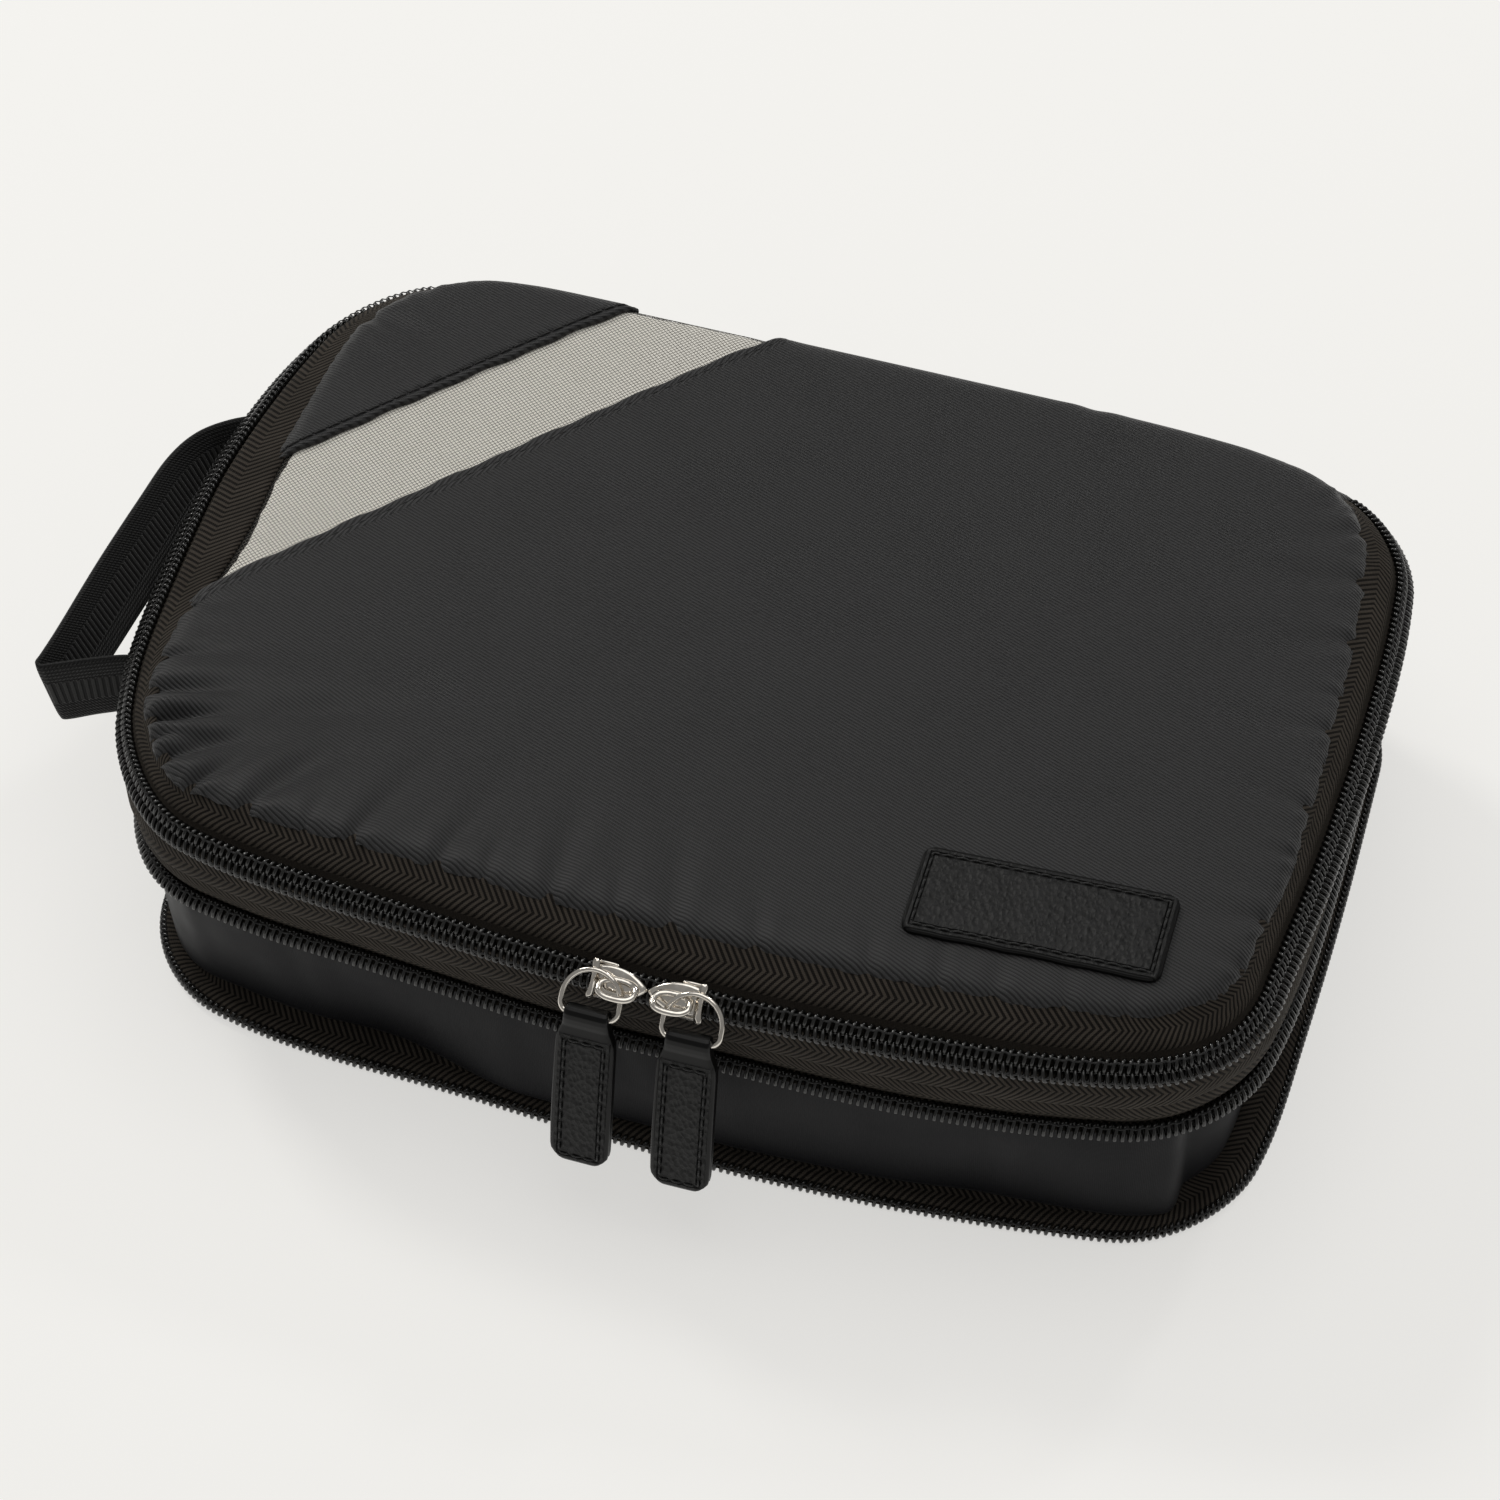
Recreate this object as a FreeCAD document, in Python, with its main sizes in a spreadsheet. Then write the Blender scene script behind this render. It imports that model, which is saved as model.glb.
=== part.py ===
"""A compression packing cube: a zipped soft case with a second zip round its expanding wall.

Frame: millimetres, Z up, origin at the middle of the flat base, +X along the long side,
-Y towards the front, where the two main zip sliders meet. The compression zip is open, so
the case stands at its full height.

Most pieces are strips that run round the case: each is a slanted rectangle swept along one
outline. A strip's place is given by two numbers at the middle of the front: "out" is how far
it stands outside the outline, and "up" is its height above the table.
"""
import FreeCAD, Part
import math
import os
import Sketcher

SIZES = {
    # plan outline, followed by both zips
    "half_length": 124.0, "front_reach": 92.0, "back_reach": 86.0,
    "front_radius": 671.0, "side_radius": 1150.0, "corner_radius": 30.0,
    # heights
    "rim_height": 61.0, "lower_rim": 39.6, "lid_seam_height": 65.4, "lid_top": 67.0,
    "base_thickness": 1.0, "wall_foot": 5.2, "coil_foot": 1.2,
    # zips
    "coil_width": 2.85, "coil_depth": 2.5, "coil_gap": 0.3, "chain_slant": 45.0,
    "tape_thickness": 0.7, "fabric_thickness": 0.7, "binding_thickness": 0.9,
    "lid_inset": 12.0, "base_inset": 8.6, "crown_inset": 25.0,
    "zip_end": 108.0, "hinge_gap": 0.4,
    # where the strips' edges lie: "out" from the outline, "drop" below or "rise" above a rim
    "lid_tape_out": -1.9, "lid_tape_drop": 1.1, "band_out": 1.9, "band_drop": 6.4,
    "band_foot_out": -0.6, "band_foot_rise": 7.2, "rim_coil_out": -2.0,
    "rim_tape_out": -2.4, "rim_tape_rise": 0.3, "rim_tape_top_out": -0.9,
    "rim_tape_top_rise": 7.0, "foot_tape_out": -3.2, "foot_tape_rise": 1.1,
    "foot_tape_end_out": -8.35, "foot_tape_drop": 0.9, "wall_foot_out": -9.2,
    "wall_top_out": -5.4, "wall_top_rise": 5.9, "base_binding_out": -9.4,
    "rim_binding_start": -4.55, "rim_binding_end": -1.9, "rim_binding_rise": 6.6,
    "lid_binding_out": -13.0, "lid_binding_foot": 3.2, "lid_binding_head": 0.4,
    "hinge_out": -0.9, "hinge_drop": 0.1, "back_drop": 0.8, "fit": 0.3, "seam_gap": 0.05,
    # mesh window across one corner of the lid
    "mesh_x": -76.6, "mesh_y": 44.9, "mesh_angle": 50.3, "mesh_width": 26.6,
    "hem_width": 3.6, "lining_thickness": 0.5, "lining_lap": 2.0,
    "region_length": 400.0, "region_height": 20.0,
    # label on the lid
    "label_length": 50.0, "label_width": 21.0, "label_thickness": 1.6,
    "label_x": 75.0, "label_y": -57.5, "label_angle": 4.3, "label_corner": 2.5,
    "stitch_inset": 1.8, "thread": 0.5,
    # sliders and pulls
    "slider_length": 11.6, "slider_width": 7.8, "plate": 1.0, "slider_clearance": 0.32,
    "nose_width": 3.2, "shoulder": 0.5, "plate_corner": 1.3, "flange": 0.55,
    "flange_depth": 1.1, "inner_plate_width": 3.0,
    "bridge_length": 7.2, "bridge_height": 3.3, "bridge_wall": 1.0, "bridge_slope": 1.2,
    "bridge_width": 1.8, "wire_radius": 0.55, "wire_rise": 1.13, "ring_radius": 6.0,
    "ring_corner": 2.0, "ring_leg": 3.35, "ring_tilt": 42.0,
    "tab_length": 37.0, "tab_width": 12.0, "tab_thickness": 3.0, "tab_tilt": 13.0,
    "tab_corner": 2.6, "tab_shoulder": 2.6, "tab_shoulder_cut": 1.0, "loop_width": 7.2, "loop_radius": 1.9,
    "loop_bore": 0.9, "left_slider_x": -1.3, "right_slider_x": 11.1,
    # compression slider, parked on the back edge, with a flat metal pull
    "park_x": 62.0, "park_height": 4.0, "puller_length": 26.0, "puller_width": 6.8,
    "puller_thickness": 1.1, "puller_bar": 1.2, "puller_window": 4.4, "puller_slot": 2.8,
    # handle of woven webbing on the left side
    "webbing_width": 16.0, "webbing_thickness": 1.4, "handle_height": 48.0,
    "strap_start": 11.0, "strap_reach": 21.0, "strap_front": -44.0, "strap_fold": -48.5,
    "strap_straight": 14.0, "strap_back": 32.5, "fold_radius": 2.4, "fold_in": 0.6,
    "straight_in": 0.4,
    "anchor_start": 0.3, "anchor_length": 9.8, "anchor_front": -41.0, "anchor_back": 38.0,
}

doc = FreeCAD.newDocument("packing_cube")
sheet = doc.addObject("Spreadsheet::Sheet", "Sizes")
for row, (alias, number) in enumerate(SIZES.items(), start=1):
    sheet.set(f"A{row}", alias)
    sheet.set(f"B{row}", str(number))
    sheet.setAlias(f"B{row}", alias)
doc.recompute()

nodes = []
TO_FRONT_SECTION = FreeCAD.Placement(
    FreeCAD.Vector(), FreeCAD.Rotation(FreeCAD.Vector(1, 1, 1), 120))


def value(expression):
    """What an expression over the sheet is worth now."""
    result = sheet.evalExpression(expression)
    return float(getattr(result, "Value", result))


def keep(thing, label):
    """Marks an object as a finished sub-part that is written to its own file."""
    thing.Label = label
    nodes.append(thing)
    return thing


def bind(thing, **expressions):
    """Binds properties to expressions; a double underscore stands for a dot."""
    for name, expression in expressions.items():
        thing.setExpression(name.replace("__", "."), expression)
    return thing


def place(thing, x="0", y="0", z="0"):
    """Binds an object's position."""
    return bind(thing, **{"Placement__Base__x": x, "Placement__Base__y": y,
                          "Placement__Base__z": z})


def pin(sketch, geometry, point, x, y):
    """Fixes one sketch point at two expressions."""
    for kind, expression in (("DistanceX", x), ("DistanceY", y)):
        index = sketch.addConstraint(Sketcher.Constraint(
            kind, -1, 1, geometry, point, value(expression)))
        name = f"{kind.lower()}_{geometry}_{point}"
        sketch.renameConstraint(index, name)
        sketch.setExpression(f"Constraints.{name}", expression)


def measure(sketch, kind, geometry, expression):
    """A radius or length in a sketch, bound to an expression."""
    index = sketch.addConstraint(Sketcher.Constraint(kind, geometry, value(expression)))
    name = f"{kind.lower()}_{geometry}"
    sketch.renameConstraint(index, name)
    sketch.setExpression(f"Constraints.{name}", expression)


def polygon(sketch, points):
    """A closed outline of straight sides, every corner bound to the sheet."""
    spots = [FreeCAD.Vector(value(x), value(y), 0) for x, y in points]
    count = len(spots)
    for i in range(count):
        sketch.addGeometry(Part.LineSegment(spots[i], spots[(i + 1) % count]), False)
    for i in range(count):
        sketch.addConstraint(Sketcher.Constraint("Coincident", i, 2, (i + 1) % count, 1))
    for i, (x, y) in enumerate(points):
        pin(sketch, i, 1, x, y)


# --- the outline ------------------------------------------------------------------------

def arc(centre, radius, start, end):
    """An anticlockwise arc between two directions in degrees."""
    circle = Part.Circle(FreeCAD.Vector(*centre, 0), FreeCAD.Vector(0, 0, 1), radius)
    return Part.ArcOfCircle(circle, math.radians(start), math.radians(end))


def direction(start, end):
    """Direction in degrees from one plan point to another."""
    return math.degrees(math.atan2(end[1] - start[1], end[0] - start[0]))


def corner_centres():
    """Plan centres of the front and back corner arcs on the right-hand side."""
    radius = SIZES["corner_radius"]
    front_y = SIZES["front_radius"] - SIZES["front_reach"]
    side_x = SIZES["half_length"] - SIZES["side_radius"]
    from_front = SIZES["front_radius"] - radius
    from_side = SIZES["side_radius"] - radius
    span = math.hypot(side_x, front_y)
    along = (from_front ** 2 - from_side ** 2 + span ** 2) / (2 * span)
    across = math.sqrt(from_front ** 2 - along ** 2)
    ux, uy = side_x / span, -front_y / span
    front = (along * ux - across * uy, front_y + along * uy + across * ux)
    back_y = SIZES["back_reach"] - radius
    back = (side_x + math.sqrt(from_side ** 2 - back_y ** 2), back_y)
    return front, back


def make_outline():
    """The plan curve of the rim: bowed front, slightly bowed sides, straight back."""
    sketch = doc.addObject("Sketcher::SketchObject", "Outline")
    front, back = corner_centres()
    radius = SIZES["corner_radius"]
    bow = (0.0, SIZES["front_radius"] - SIZES["front_reach"])
    side = (SIZES["half_length"] - SIZES["side_radius"], 0.0)
    a_front = direction(bow, front)
    a_low = direction(side, front)
    a_high = direction(side, back)
    mirror = lambda p: (-p[0], p[1])
    back_y = SIZES["back_reach"]
    pieces = [
        arc(bow, SIZES["front_radius"], -90, a_front),
        arc(front, radius, a_front, a_low),
        arc(side, SIZES["side_radius"], a_low, a_high),
        arc(back, radius, a_high, 90),
        Part.LineSegment(FreeCAD.Vector(back[0], back_y, 0), FreeCAD.Vector(-back[0], back_y, 0)),
        arc(mirror(back), radius, 90, 180 - a_high),
        arc(mirror(side), SIZES["side_radius"], 180 - a_high, 180 - a_low),
        arc(mirror(front), radius, 180 - a_low, 180 - a_front),
        arc(bow, SIZES["front_radius"], -180 - a_front, -90),
    ]
    sketch.addGeometry(pieces, False)
    for i in range(len(pieces) - 1):
        sketch.addConstraint(Sketcher.Constraint("Tangent", i, 2, i + 1, 1))
    sketch.addConstraint(Sketcher.Constraint("Coincident", 8, 2, 0, 1))
    sketch.addConstraint(Sketcher.Constraint("Coincident", 8, 3, 0, 3))
    sketch.addConstraint(Sketcher.Constraint("PointOnObject", 0, 1, -2))
    sketch.addConstraint(Sketcher.Constraint("Horizontal", 4))
    pin(sketch, 0, 3, "0", "Sizes.front_radius - Sizes.front_reach")
    pin(sketch, 2, 3, "Sizes.half_length - Sizes.side_radius", "0")
    pin(sketch, 6, 3, "Sizes.side_radius - Sizes.half_length", "0")
    measure(sketch, "Radius", 0, "Sizes.front_radius")
    measure(sketch, "Radius", 2, "Sizes.side_radius")
    measure(sketch, "Radius", 6, "Sizes.side_radius")
    for corner in (1, 3, 5, 7):
        measure(sketch, "Radius", corner, "Sizes.corner_radius")
    index = sketch.addConstraint(Sketcher.Constraint("DistanceY", -1, 1, 4, 1, back_y))
    sketch.renameConstraint(index, "back_reach")
    sketch.setExpression("Constraints.back_reach", "Sizes.back_reach")
    doc.recompute()
    return sketch


outline = make_outline()
OUTLINE_EDGES = [f"Edge{i}" for i in range(1, 10)]
LID_SEAM = ("-Sizes.lid_inset", "Sizes.lid_seam_height")
BAND_FOOT = ("Sizes.band_foot_out", "Sizes.lower_rim + Sizes.band_foot_rise")


# --- strips that run round the case -----------------------------------------------------

def strip(name, start, end, thickness):
    """A flat strip round the outline. start and end are (out, up) expressions; the
    thickness lies to the left of the line from start to end, seen from the right side."""
    section = doc.addObject("Sketcher::SketchObject", f"{name}_section")
    section.Placement = TO_FRONT_SECTION
    spots = [FreeCAD.Vector(-value(f"Sizes.front_reach + ({out})"), value(up), 0)
             for out, up in (start, end)]
    along = (spots[1] - spots[0]).normalize()
    side = FreeCAD.Vector(-along.y, along.x, 0) * value(thickness)
    corners = [spots[0], spots[1], spots[1] + side, spots[0] + side]
    for i in range(4):
        section.addGeometry(Part.LineSegment(corners[i], corners[(i + 1) % 4]), False)
    for i in range(4):
        section.addConstraint(Sketcher.Constraint("Coincident", i, 2, (i + 1) % 4, 1))
    section.addConstraint(Sketcher.Constraint("Perpendicular", 0, 1))
    section.addConstraint(Sketcher.Constraint("Perpendicular", 0, 3))
    section.addConstraint(Sketcher.Constraint("Parallel", 0, 2))
    measure(section, "Distance", 1, thickness)
    pin(section, 0, 1, f"-(Sizes.front_reach + ({start[0]}))", start[1])
    pin(section, 0, 2, f"-(Sizes.front_reach + ({end[0]}))", end[1])
    sweep = doc.addObject("Part::Sweep", name)
    sweep.Sections = [section]
    sweep.Spine = (outline, OUTLINE_EDGES)
    sweep.Solid = True
    sweep.Frenet = False
    return sweep


def back_box(name, half_width):
    """A block over the back edge, as wide as the stretch that has no zip."""
    box = doc.addObject("Part::Box", name)
    bind(box, Length=f"2 * ({half_width})", Width="2 * Sizes.crown_inset",
         Height="2 * Sizes.lid_top")
    place(box, f"-({half_width})", "Sizes.back_reach - Sizes.crown_inset")
    return box


def join(kind, name, base, tool):
    """A boolean of two objects."""
    result = doc.addObject(kind, name)
    result.Base = base
    result.Tool = tool
    return result


def without_back(name, solid):
    """A strip that stops at the zip's two ends."""
    return join("Part::Cut", name, solid, back_box(f"{name}_gap", "Sizes.zip_end"))


def only_back(name, solid):
    """The stretch of a strip along the back, between the zip's two ends."""
    box = back_box(f"{name}_stretch", "Sizes.zip_end - Sizes.hinge_gap")
    return join("Part::Common", name, solid, box)


def slanted(distance, sign=1):
    """The (out, up) shift of a distance down and out along the main zip's slant."""
    return (f"({distance}) * cos(Sizes.chain_slant * 1 deg)",
            f"{-sign} * ({distance}) * sin(Sizes.chain_slant * 1 deg)")


def coil_strip(name, start_out, start_up, skip):
    """One side of a zip's coil, as a slanted bar that starts a distance along the slant."""
    out_1, up_1 = slanted(skip)
    out_2, up_2 = slanted(f"{skip} + Sizes.coil_width")
    return strip(name, (f"{start_out} + {out_1}", f"{start_up} + {up_1}"),
                 (f"{start_out} + {out_2}", f"{start_up} + {up_2}"), "Sizes.coil_depth")


def main_zip():
    """The main zip: coil and tape of the lid side, coil and tape of the tray side."""
    upper = coil_strip("UpperCoilRing", "0", "Sizes.rim_height", "0")
    keep(without_back("UpperCoil", upper), "main_coil_upper")
    lower = coil_strip("LowerCoilRing", "0", "Sizes.rim_height",
                       "Sizes.coil_width + Sizes.coil_gap")
    keep(without_back("LowerCoil", lower), "main_coil_lower")
    tape = strip("UpperTapeRing",
                 ("Sizes.lid_tape_out", "Sizes.rim_height - Sizes.lid_tape_drop"),
                 LID_SEAM, "Sizes.tape_thickness")
    keep(without_back("UpperTape", tape), "main_tape_upper")
    band = strip("LowerTapeRing", ("Sizes.band_out", "Sizes.rim_height - Sizes.band_drop"),
                 BAND_FOOT, "Sizes.tape_thickness")
    keep(without_back("LowerTape", band), "main_tape_lower")


def compression_zip():
    """The compression zip: its two coils and tapes go all the way round."""
    keep(coil_strip("CompressionCoilUpper", "Sizes.rim_coil_out", "Sizes.lower_rim", "0"),
         "compression_coil_upper")
    keep(strip("CompressionTapeUpper",
               ("Sizes.rim_tape_out", "Sizes.lower_rim + Sizes.rim_tape_rise"),
               ("Sizes.rim_tape_top_out", "Sizes.lower_rim + Sizes.rim_tape_top_rise"),
               "Sizes.tape_thickness"), "compression_tape_upper")
    keep(strip("CompressionCoilLower", ("0", "Sizes.coil_foot"),
               ("-Sizes.coil_width", "Sizes.coil_foot"), "Sizes.coil_depth"),
         "compression_coil_lower")
    keep(strip("CompressionTapeLower",
               ("Sizes.foot_tape_out", "Sizes.coil_foot + Sizes.foot_tape_rise"),
               ("Sizes.foot_tape_end_out", "Sizes.wall_foot - Sizes.foot_tape_drop"),
               "Sizes.tape_thickness"), "compression_tape_lower")


def wall():
    """The expanding nylon wall between the two halves of the compression zip."""
    keep(strip("Wall", ("Sizes.wall_foot_out", "Sizes.wall_foot"),
               ("Sizes.wall_top_out", "Sizes.lower_rim + Sizes.wall_top_rise"),
               "Sizes.fabric_thickness"), "gusset_wall")


def seams():
    """Tape bindings folded over the raw edges inside, and the fabric at the back edge."""
    keep(strip("BaseBinding",
               ("Sizes.base_binding_out", "Sizes.base_thickness + Sizes.seam_gap"),
               ("Sizes.base_binding_out", "Sizes.wall_foot - 4 * Sizes.seam_gap"),
               "Sizes.binding_thickness"), "base_seam_binding")
    height = "Sizes.lower_rim + Sizes.rim_binding_rise"
    keep(strip("RimBinding", ("Sizes.rim_binding_start", height),
               ("Sizes.rim_binding_end", height), "Sizes.binding_thickness"),
         "rim_seam_binding")
    keep(strip("LidBinding",
               ("Sizes.lid_binding_out", "Sizes.lid_seam_height - Sizes.lid_binding_foot"),
               ("Sizes.lid_binding_out", "Sizes.lid_seam_height - Sizes.lid_binding_head"),
               "Sizes.binding_thickness"), "lid_seam_binding")
    hinge = strip("HingeRing", ("Sizes.hinge_out", "Sizes.rim_height - Sizes.hinge_drop"),
                  LID_SEAM, "Sizes.tape_thickness")
    keep(only_back("HingeStrip", hinge), "lid_hinge_strip")
    back = strip("BackRing", ("0", "Sizes.rim_height - Sizes.back_drop"),
                 BAND_FOOT, "Sizes.tape_thickness")
    keep(only_back("BackPanel", back), "back_panel")


# --- panels -----------------------------------------------------------------------------

def panel(name, inset, height, thickness):
    """A flat panel with the outline's shape, some way inside it."""
    edge = doc.addObject("Part::Offset2D", f"{name}_edge")
    edge.Source = outline
    bind(edge, Value=f"-({inset})")
    plate = doc.addObject("Part::Extrusion", name)
    plate.Base = edge
    plate.DirMode = "Custom"
    plate.Dir = FreeCAD.Vector(0, 0, 1)
    plate.Solid = True
    bind(plate, LengthFwd=thickness)
    place(plate, z=height)
    return plate


def region(name, near, far):
    """A tall block along the mesh window's direction, between two distances across it."""
    box = doc.addObject("Part::Box", name)
    bind(box, Length="Sizes.region_length", Width=f"({far}) - ({near})",
         Height="Sizes.region_height")
    box.Placement.Rotation = FreeCAD.Rotation(
        FreeCAD.Vector(0, 0, 1), value("Sizes.mesh_angle"))
    half = "Sizes.region_length / 2"
    turn = "Sizes.mesh_angle * 1 deg"
    place(box, f"Sizes.mesh_x - {half} * cos({turn}) - ({near}) * sin({turn})",
          f"Sizes.mesh_y - {half} * sin({turn}) + ({near}) * cos({turn})",
          "Sizes.lid_top - Sizes.region_height / 2")
    return box


def lid_panels():
    """The lid: a low crowned shell, cut into two panels, two hems and the mesh window."""
    slope = strip("LidSlope", ("-Sizes.lid_inset - Sizes.fit", "Sizes.lid_seam_height"),
                  ("-Sizes.crown_inset", "Sizes.lid_top"), "Sizes.fabric_thickness")
    crown = panel("LidCrown", "Sizes.crown_inset - 2 * Sizes.fit", "Sizes.lid_top",
                  "Sizes.fabric_thickness")
    shell = join("Part::Fuse", "LidShell", slope, crown)
    half = "Sizes.mesh_width / 2"
    hem = f"{half} + Sizes.hem_width"
    far = "Sizes.region_length"
    for label, near, end in (
            ("lid_main_panel", f"-({far})", f"-({hem})"),
            ("hem_main", f"-({hem})", f"-({half})"),
            ("mesh_window", f"-({half})", half),
            ("hem_corner", half, hem),
            ("lid_corner_panel", hem, far)):
        block = region(f"{label}_region", near, end)
        keep(join("Part::Common", f"{label}_piece", shell, block), label)
    lining = panel("LiningSheet", "Sizes.crown_inset + 2 * Sizes.fit",
                   "Sizes.lid_top - 3 * Sizes.fit", "Sizes.lining_thickness")
    block = region("LiningRegion", f"-({half}) - Sizes.lining_lap",
                   f"{half} + Sizes.lining_lap")
    keep(join("Part::Common", "Lining", lining, block), "mesh_lining")


def plane(body, role):
    """One of a body's own origin planes."""
    return next(f for f in body.Origin.OriginFeatures if f.Role == role)


def new_sketch(body, name, role, lift="0"):
    """A sketch on one of the body's own planes, lifted off it by an expression."""
    sketch = body.newObject("Sketcher::SketchObject", name)
    sketch.AttachmentSupport = (plane(body, role), [""])
    sketch.MapMode = "FlatFace"
    bind(sketch, AttachmentOffset__Base__z=lift)
    return sketch


def pad(body, sketch, length, both_ways=False, backwards=False):
    """A pad of a sketch whose length is an expression."""
    feature = body.newObject("PartDesign::Pad", f"{sketch.Name}_pad")
    feature.Profile = sketch
    bind(feature, Length=length)
    feature.Midplane = both_ways
    feature.Reversed = backwards
    doc.recompute()
    return feature


def rectangle(x0, x1, y0, y1):
    """The corners of a rectangle, as expressions."""
    return [(x0, y0), (x1, y0), (x1, y1), (x0, y1)]


def label():
    """A leather label on the lid with its line of stitching."""
    lift = "Sizes.lid_top + Sizes.fabric_thickness + Sizes.seam_gap"
    half_x, half_y = "Sizes.label_length / 2", "Sizes.label_width / 2"
    patch = doc.addObject("PartDesign::Body", "LabelPatch")
    sketch = new_sketch(patch, "LabelOutline", "XY_Plane")
    polygon(sketch, rectangle(f"-{half_x}", half_x, f"-{half_y}", half_y))
    base = pad(patch, sketch, "Sizes.label_thickness")
    rounded = patch.newObject("PartDesign::Fillet", "LabelCorners")
    rounded.Base = (base, upright_edges(base))
    bind(rounded, Radius="Sizes.label_corner")
    thread = doc.addObject("PartDesign::Body", "LabelThread")
    sketch = new_sketch(thread, "LabelThreadOutline", "XY_Plane", "Sizes.label_thickness")
    for inset in ("Sizes.stitch_inset", "Sizes.stitch_inset + Sizes.thread"):
        frame(sketch, f"{half_x} - ({inset})", f"{half_y} - ({inset})")
    pad(thread, sketch, "Sizes.thread / 2")
    turn = FreeCAD.Rotation(FreeCAD.Vector(0, 0, 1), value("Sizes.label_angle"))
    for body, name in ((patch, "label_patch"), (thread, "label_stitching")):
        body.Placement.Rotation = turn
        keep(place(body, "Sizes.label_x", "Sizes.label_y", lift), name)


def frame(sketch, half_x, half_y, middle="0"):
    """One rectangle of a stitch line, added to a sketch that may hold others."""
    first = sketch.GeometryCount
    points = rectangle(f"-({half_x})", half_x, f"({middle}) - ({half_y})",
                       f"({middle}) + ({half_y})")
    spots = [FreeCAD.Vector(value(x), value(y), 0) for x, y in points]
    for i in range(4):
        sketch.addGeometry(Part.LineSegment(spots[i], spots[(i + 1) % 4]), False)
    for i in range(4):
        sketch.addConstraint(Sketcher.Constraint(
            "Coincident", first + i, 2, first + (i + 1) % 4, 1))
    for i, (x, y) in enumerate(points):
        pin(sketch, first + i, 1, x, y)


def upright_edges(feature):
    """Names of a shape's straight edges that run along its local Z."""
    names = []
    for i, edge in enumerate(feature.Shape.Edges, start=1):
        start, end = edge.Vertexes[0].Point, edge.Vertexes[-1].Point
        if math.hypot(end.x - start.x, end.y - start.y) < 1e-6 and start != end:
            names.append(f"Edge{i}")
    return names


# --- sliders and pulls ------------------------------------------------------------------
# A slider's own frame: X along the zip, Y across it, Z away from the case.

def slider_body(prefix, nose, flange_side):
    """A slider's outer plate, its one side flange and the bridge that holds the pull.
    nose is +1 or -1, the way the slider points along X."""
    body = doc.addObject("PartDesign::Body", f"{prefix}Slider")
    half, tail = "Sizes.slider_width / 2", f"{-nose} * Sizes.slider_length / 2"
    tip, turn = f"{nose} * Sizes.slider_length / 2", f"{-nose} * Sizes.shoulder"
    slim = "Sizes.nose_width / 2"
    outline_points = [(tail, f"-{half}"), (turn, f"-{half}"), (tip, f"-{slim}"),
                      (tip, slim), (turn, half), (tail, half)]
    sketch = new_sketch(body, f"{prefix}Plate", "XY_Plane", "Sizes.slider_clearance")
    polygon(sketch, outline_points)
    plate = pad(body, sketch, "Sizes.plate")
    rounded = body.newObject("PartDesign::Fillet", f"{prefix}PlateCorners")
    rounded.Base = (plate, upright_edges(plate))
    bind(rounded, Radius="Sizes.plate_corner")
    doc.recompute()
    edge = f"{flange_side} * Sizes.slider_width / 2"
    inner = f"{flange_side} * (Sizes.slider_width / 2 - Sizes.flange)"
    side = new_sketch(body, f"{prefix}Flange", "XY_Plane",
                      "Sizes.slider_clearance + Sizes.plate / 2")
    polygon(side, rectangle(f"{-nose} * (Sizes.slider_length / 2 - Sizes.plate_corner)", turn,
                            inner, edge))
    pad(body, side, "Sizes.slider_clearance + Sizes.plate / 2 + Sizes.flange_depth",
        backwards=True)
    arch = new_sketch(body, f"{prefix}Bridge", "XZ_Plane")
    polygon(arch, bridge_outline())
    pad(body, arch, "Sizes.bridge_width", both_ways=True)
    return body


def bridge_outline():
    """The bridge seen from the side: a flat-topped arch, open underneath."""
    foot = "Sizes.slider_clearance + Sizes.plate - 2 * Sizes.seam_gap"
    top = "Sizes.slider_clearance + Sizes.plate + Sizes.bridge_height"
    outer, inner = "Sizes.bridge_length / 2", "Sizes.bridge_length / 2 - Sizes.bridge_wall"
    drop, under = "Sizes.bridge_slope", f"{top} - Sizes.bridge_wall"
    half = [(f"{outer}", foot), (f"{outer}", f"{top} - {drop}"), (f"{outer} - {drop}", top)]
    hole = [(f"{inner} - {drop} / 2", under), (f"{inner}", f"{under} - {drop} / 2"),
            (f"{inner}", foot)]
    left = [(f"-({x})", y) for x, y in reversed(half)]
    hole_left = [(f"-({x})", y) for x, y in reversed(hole)]
    return half + left + hole_left + hole


def inner_plate(prefix):
    """The slider's inner plate, behind the lid side of the zip."""
    box = doc.addObject("Part::Box", f"{prefix}InnerPlate")
    bind(box, Length="Sizes.slider_length - 2 * Sizes.plate_corner",
         Width="Sizes.inner_plate_width", Height="Sizes.plate")
    return box


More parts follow.
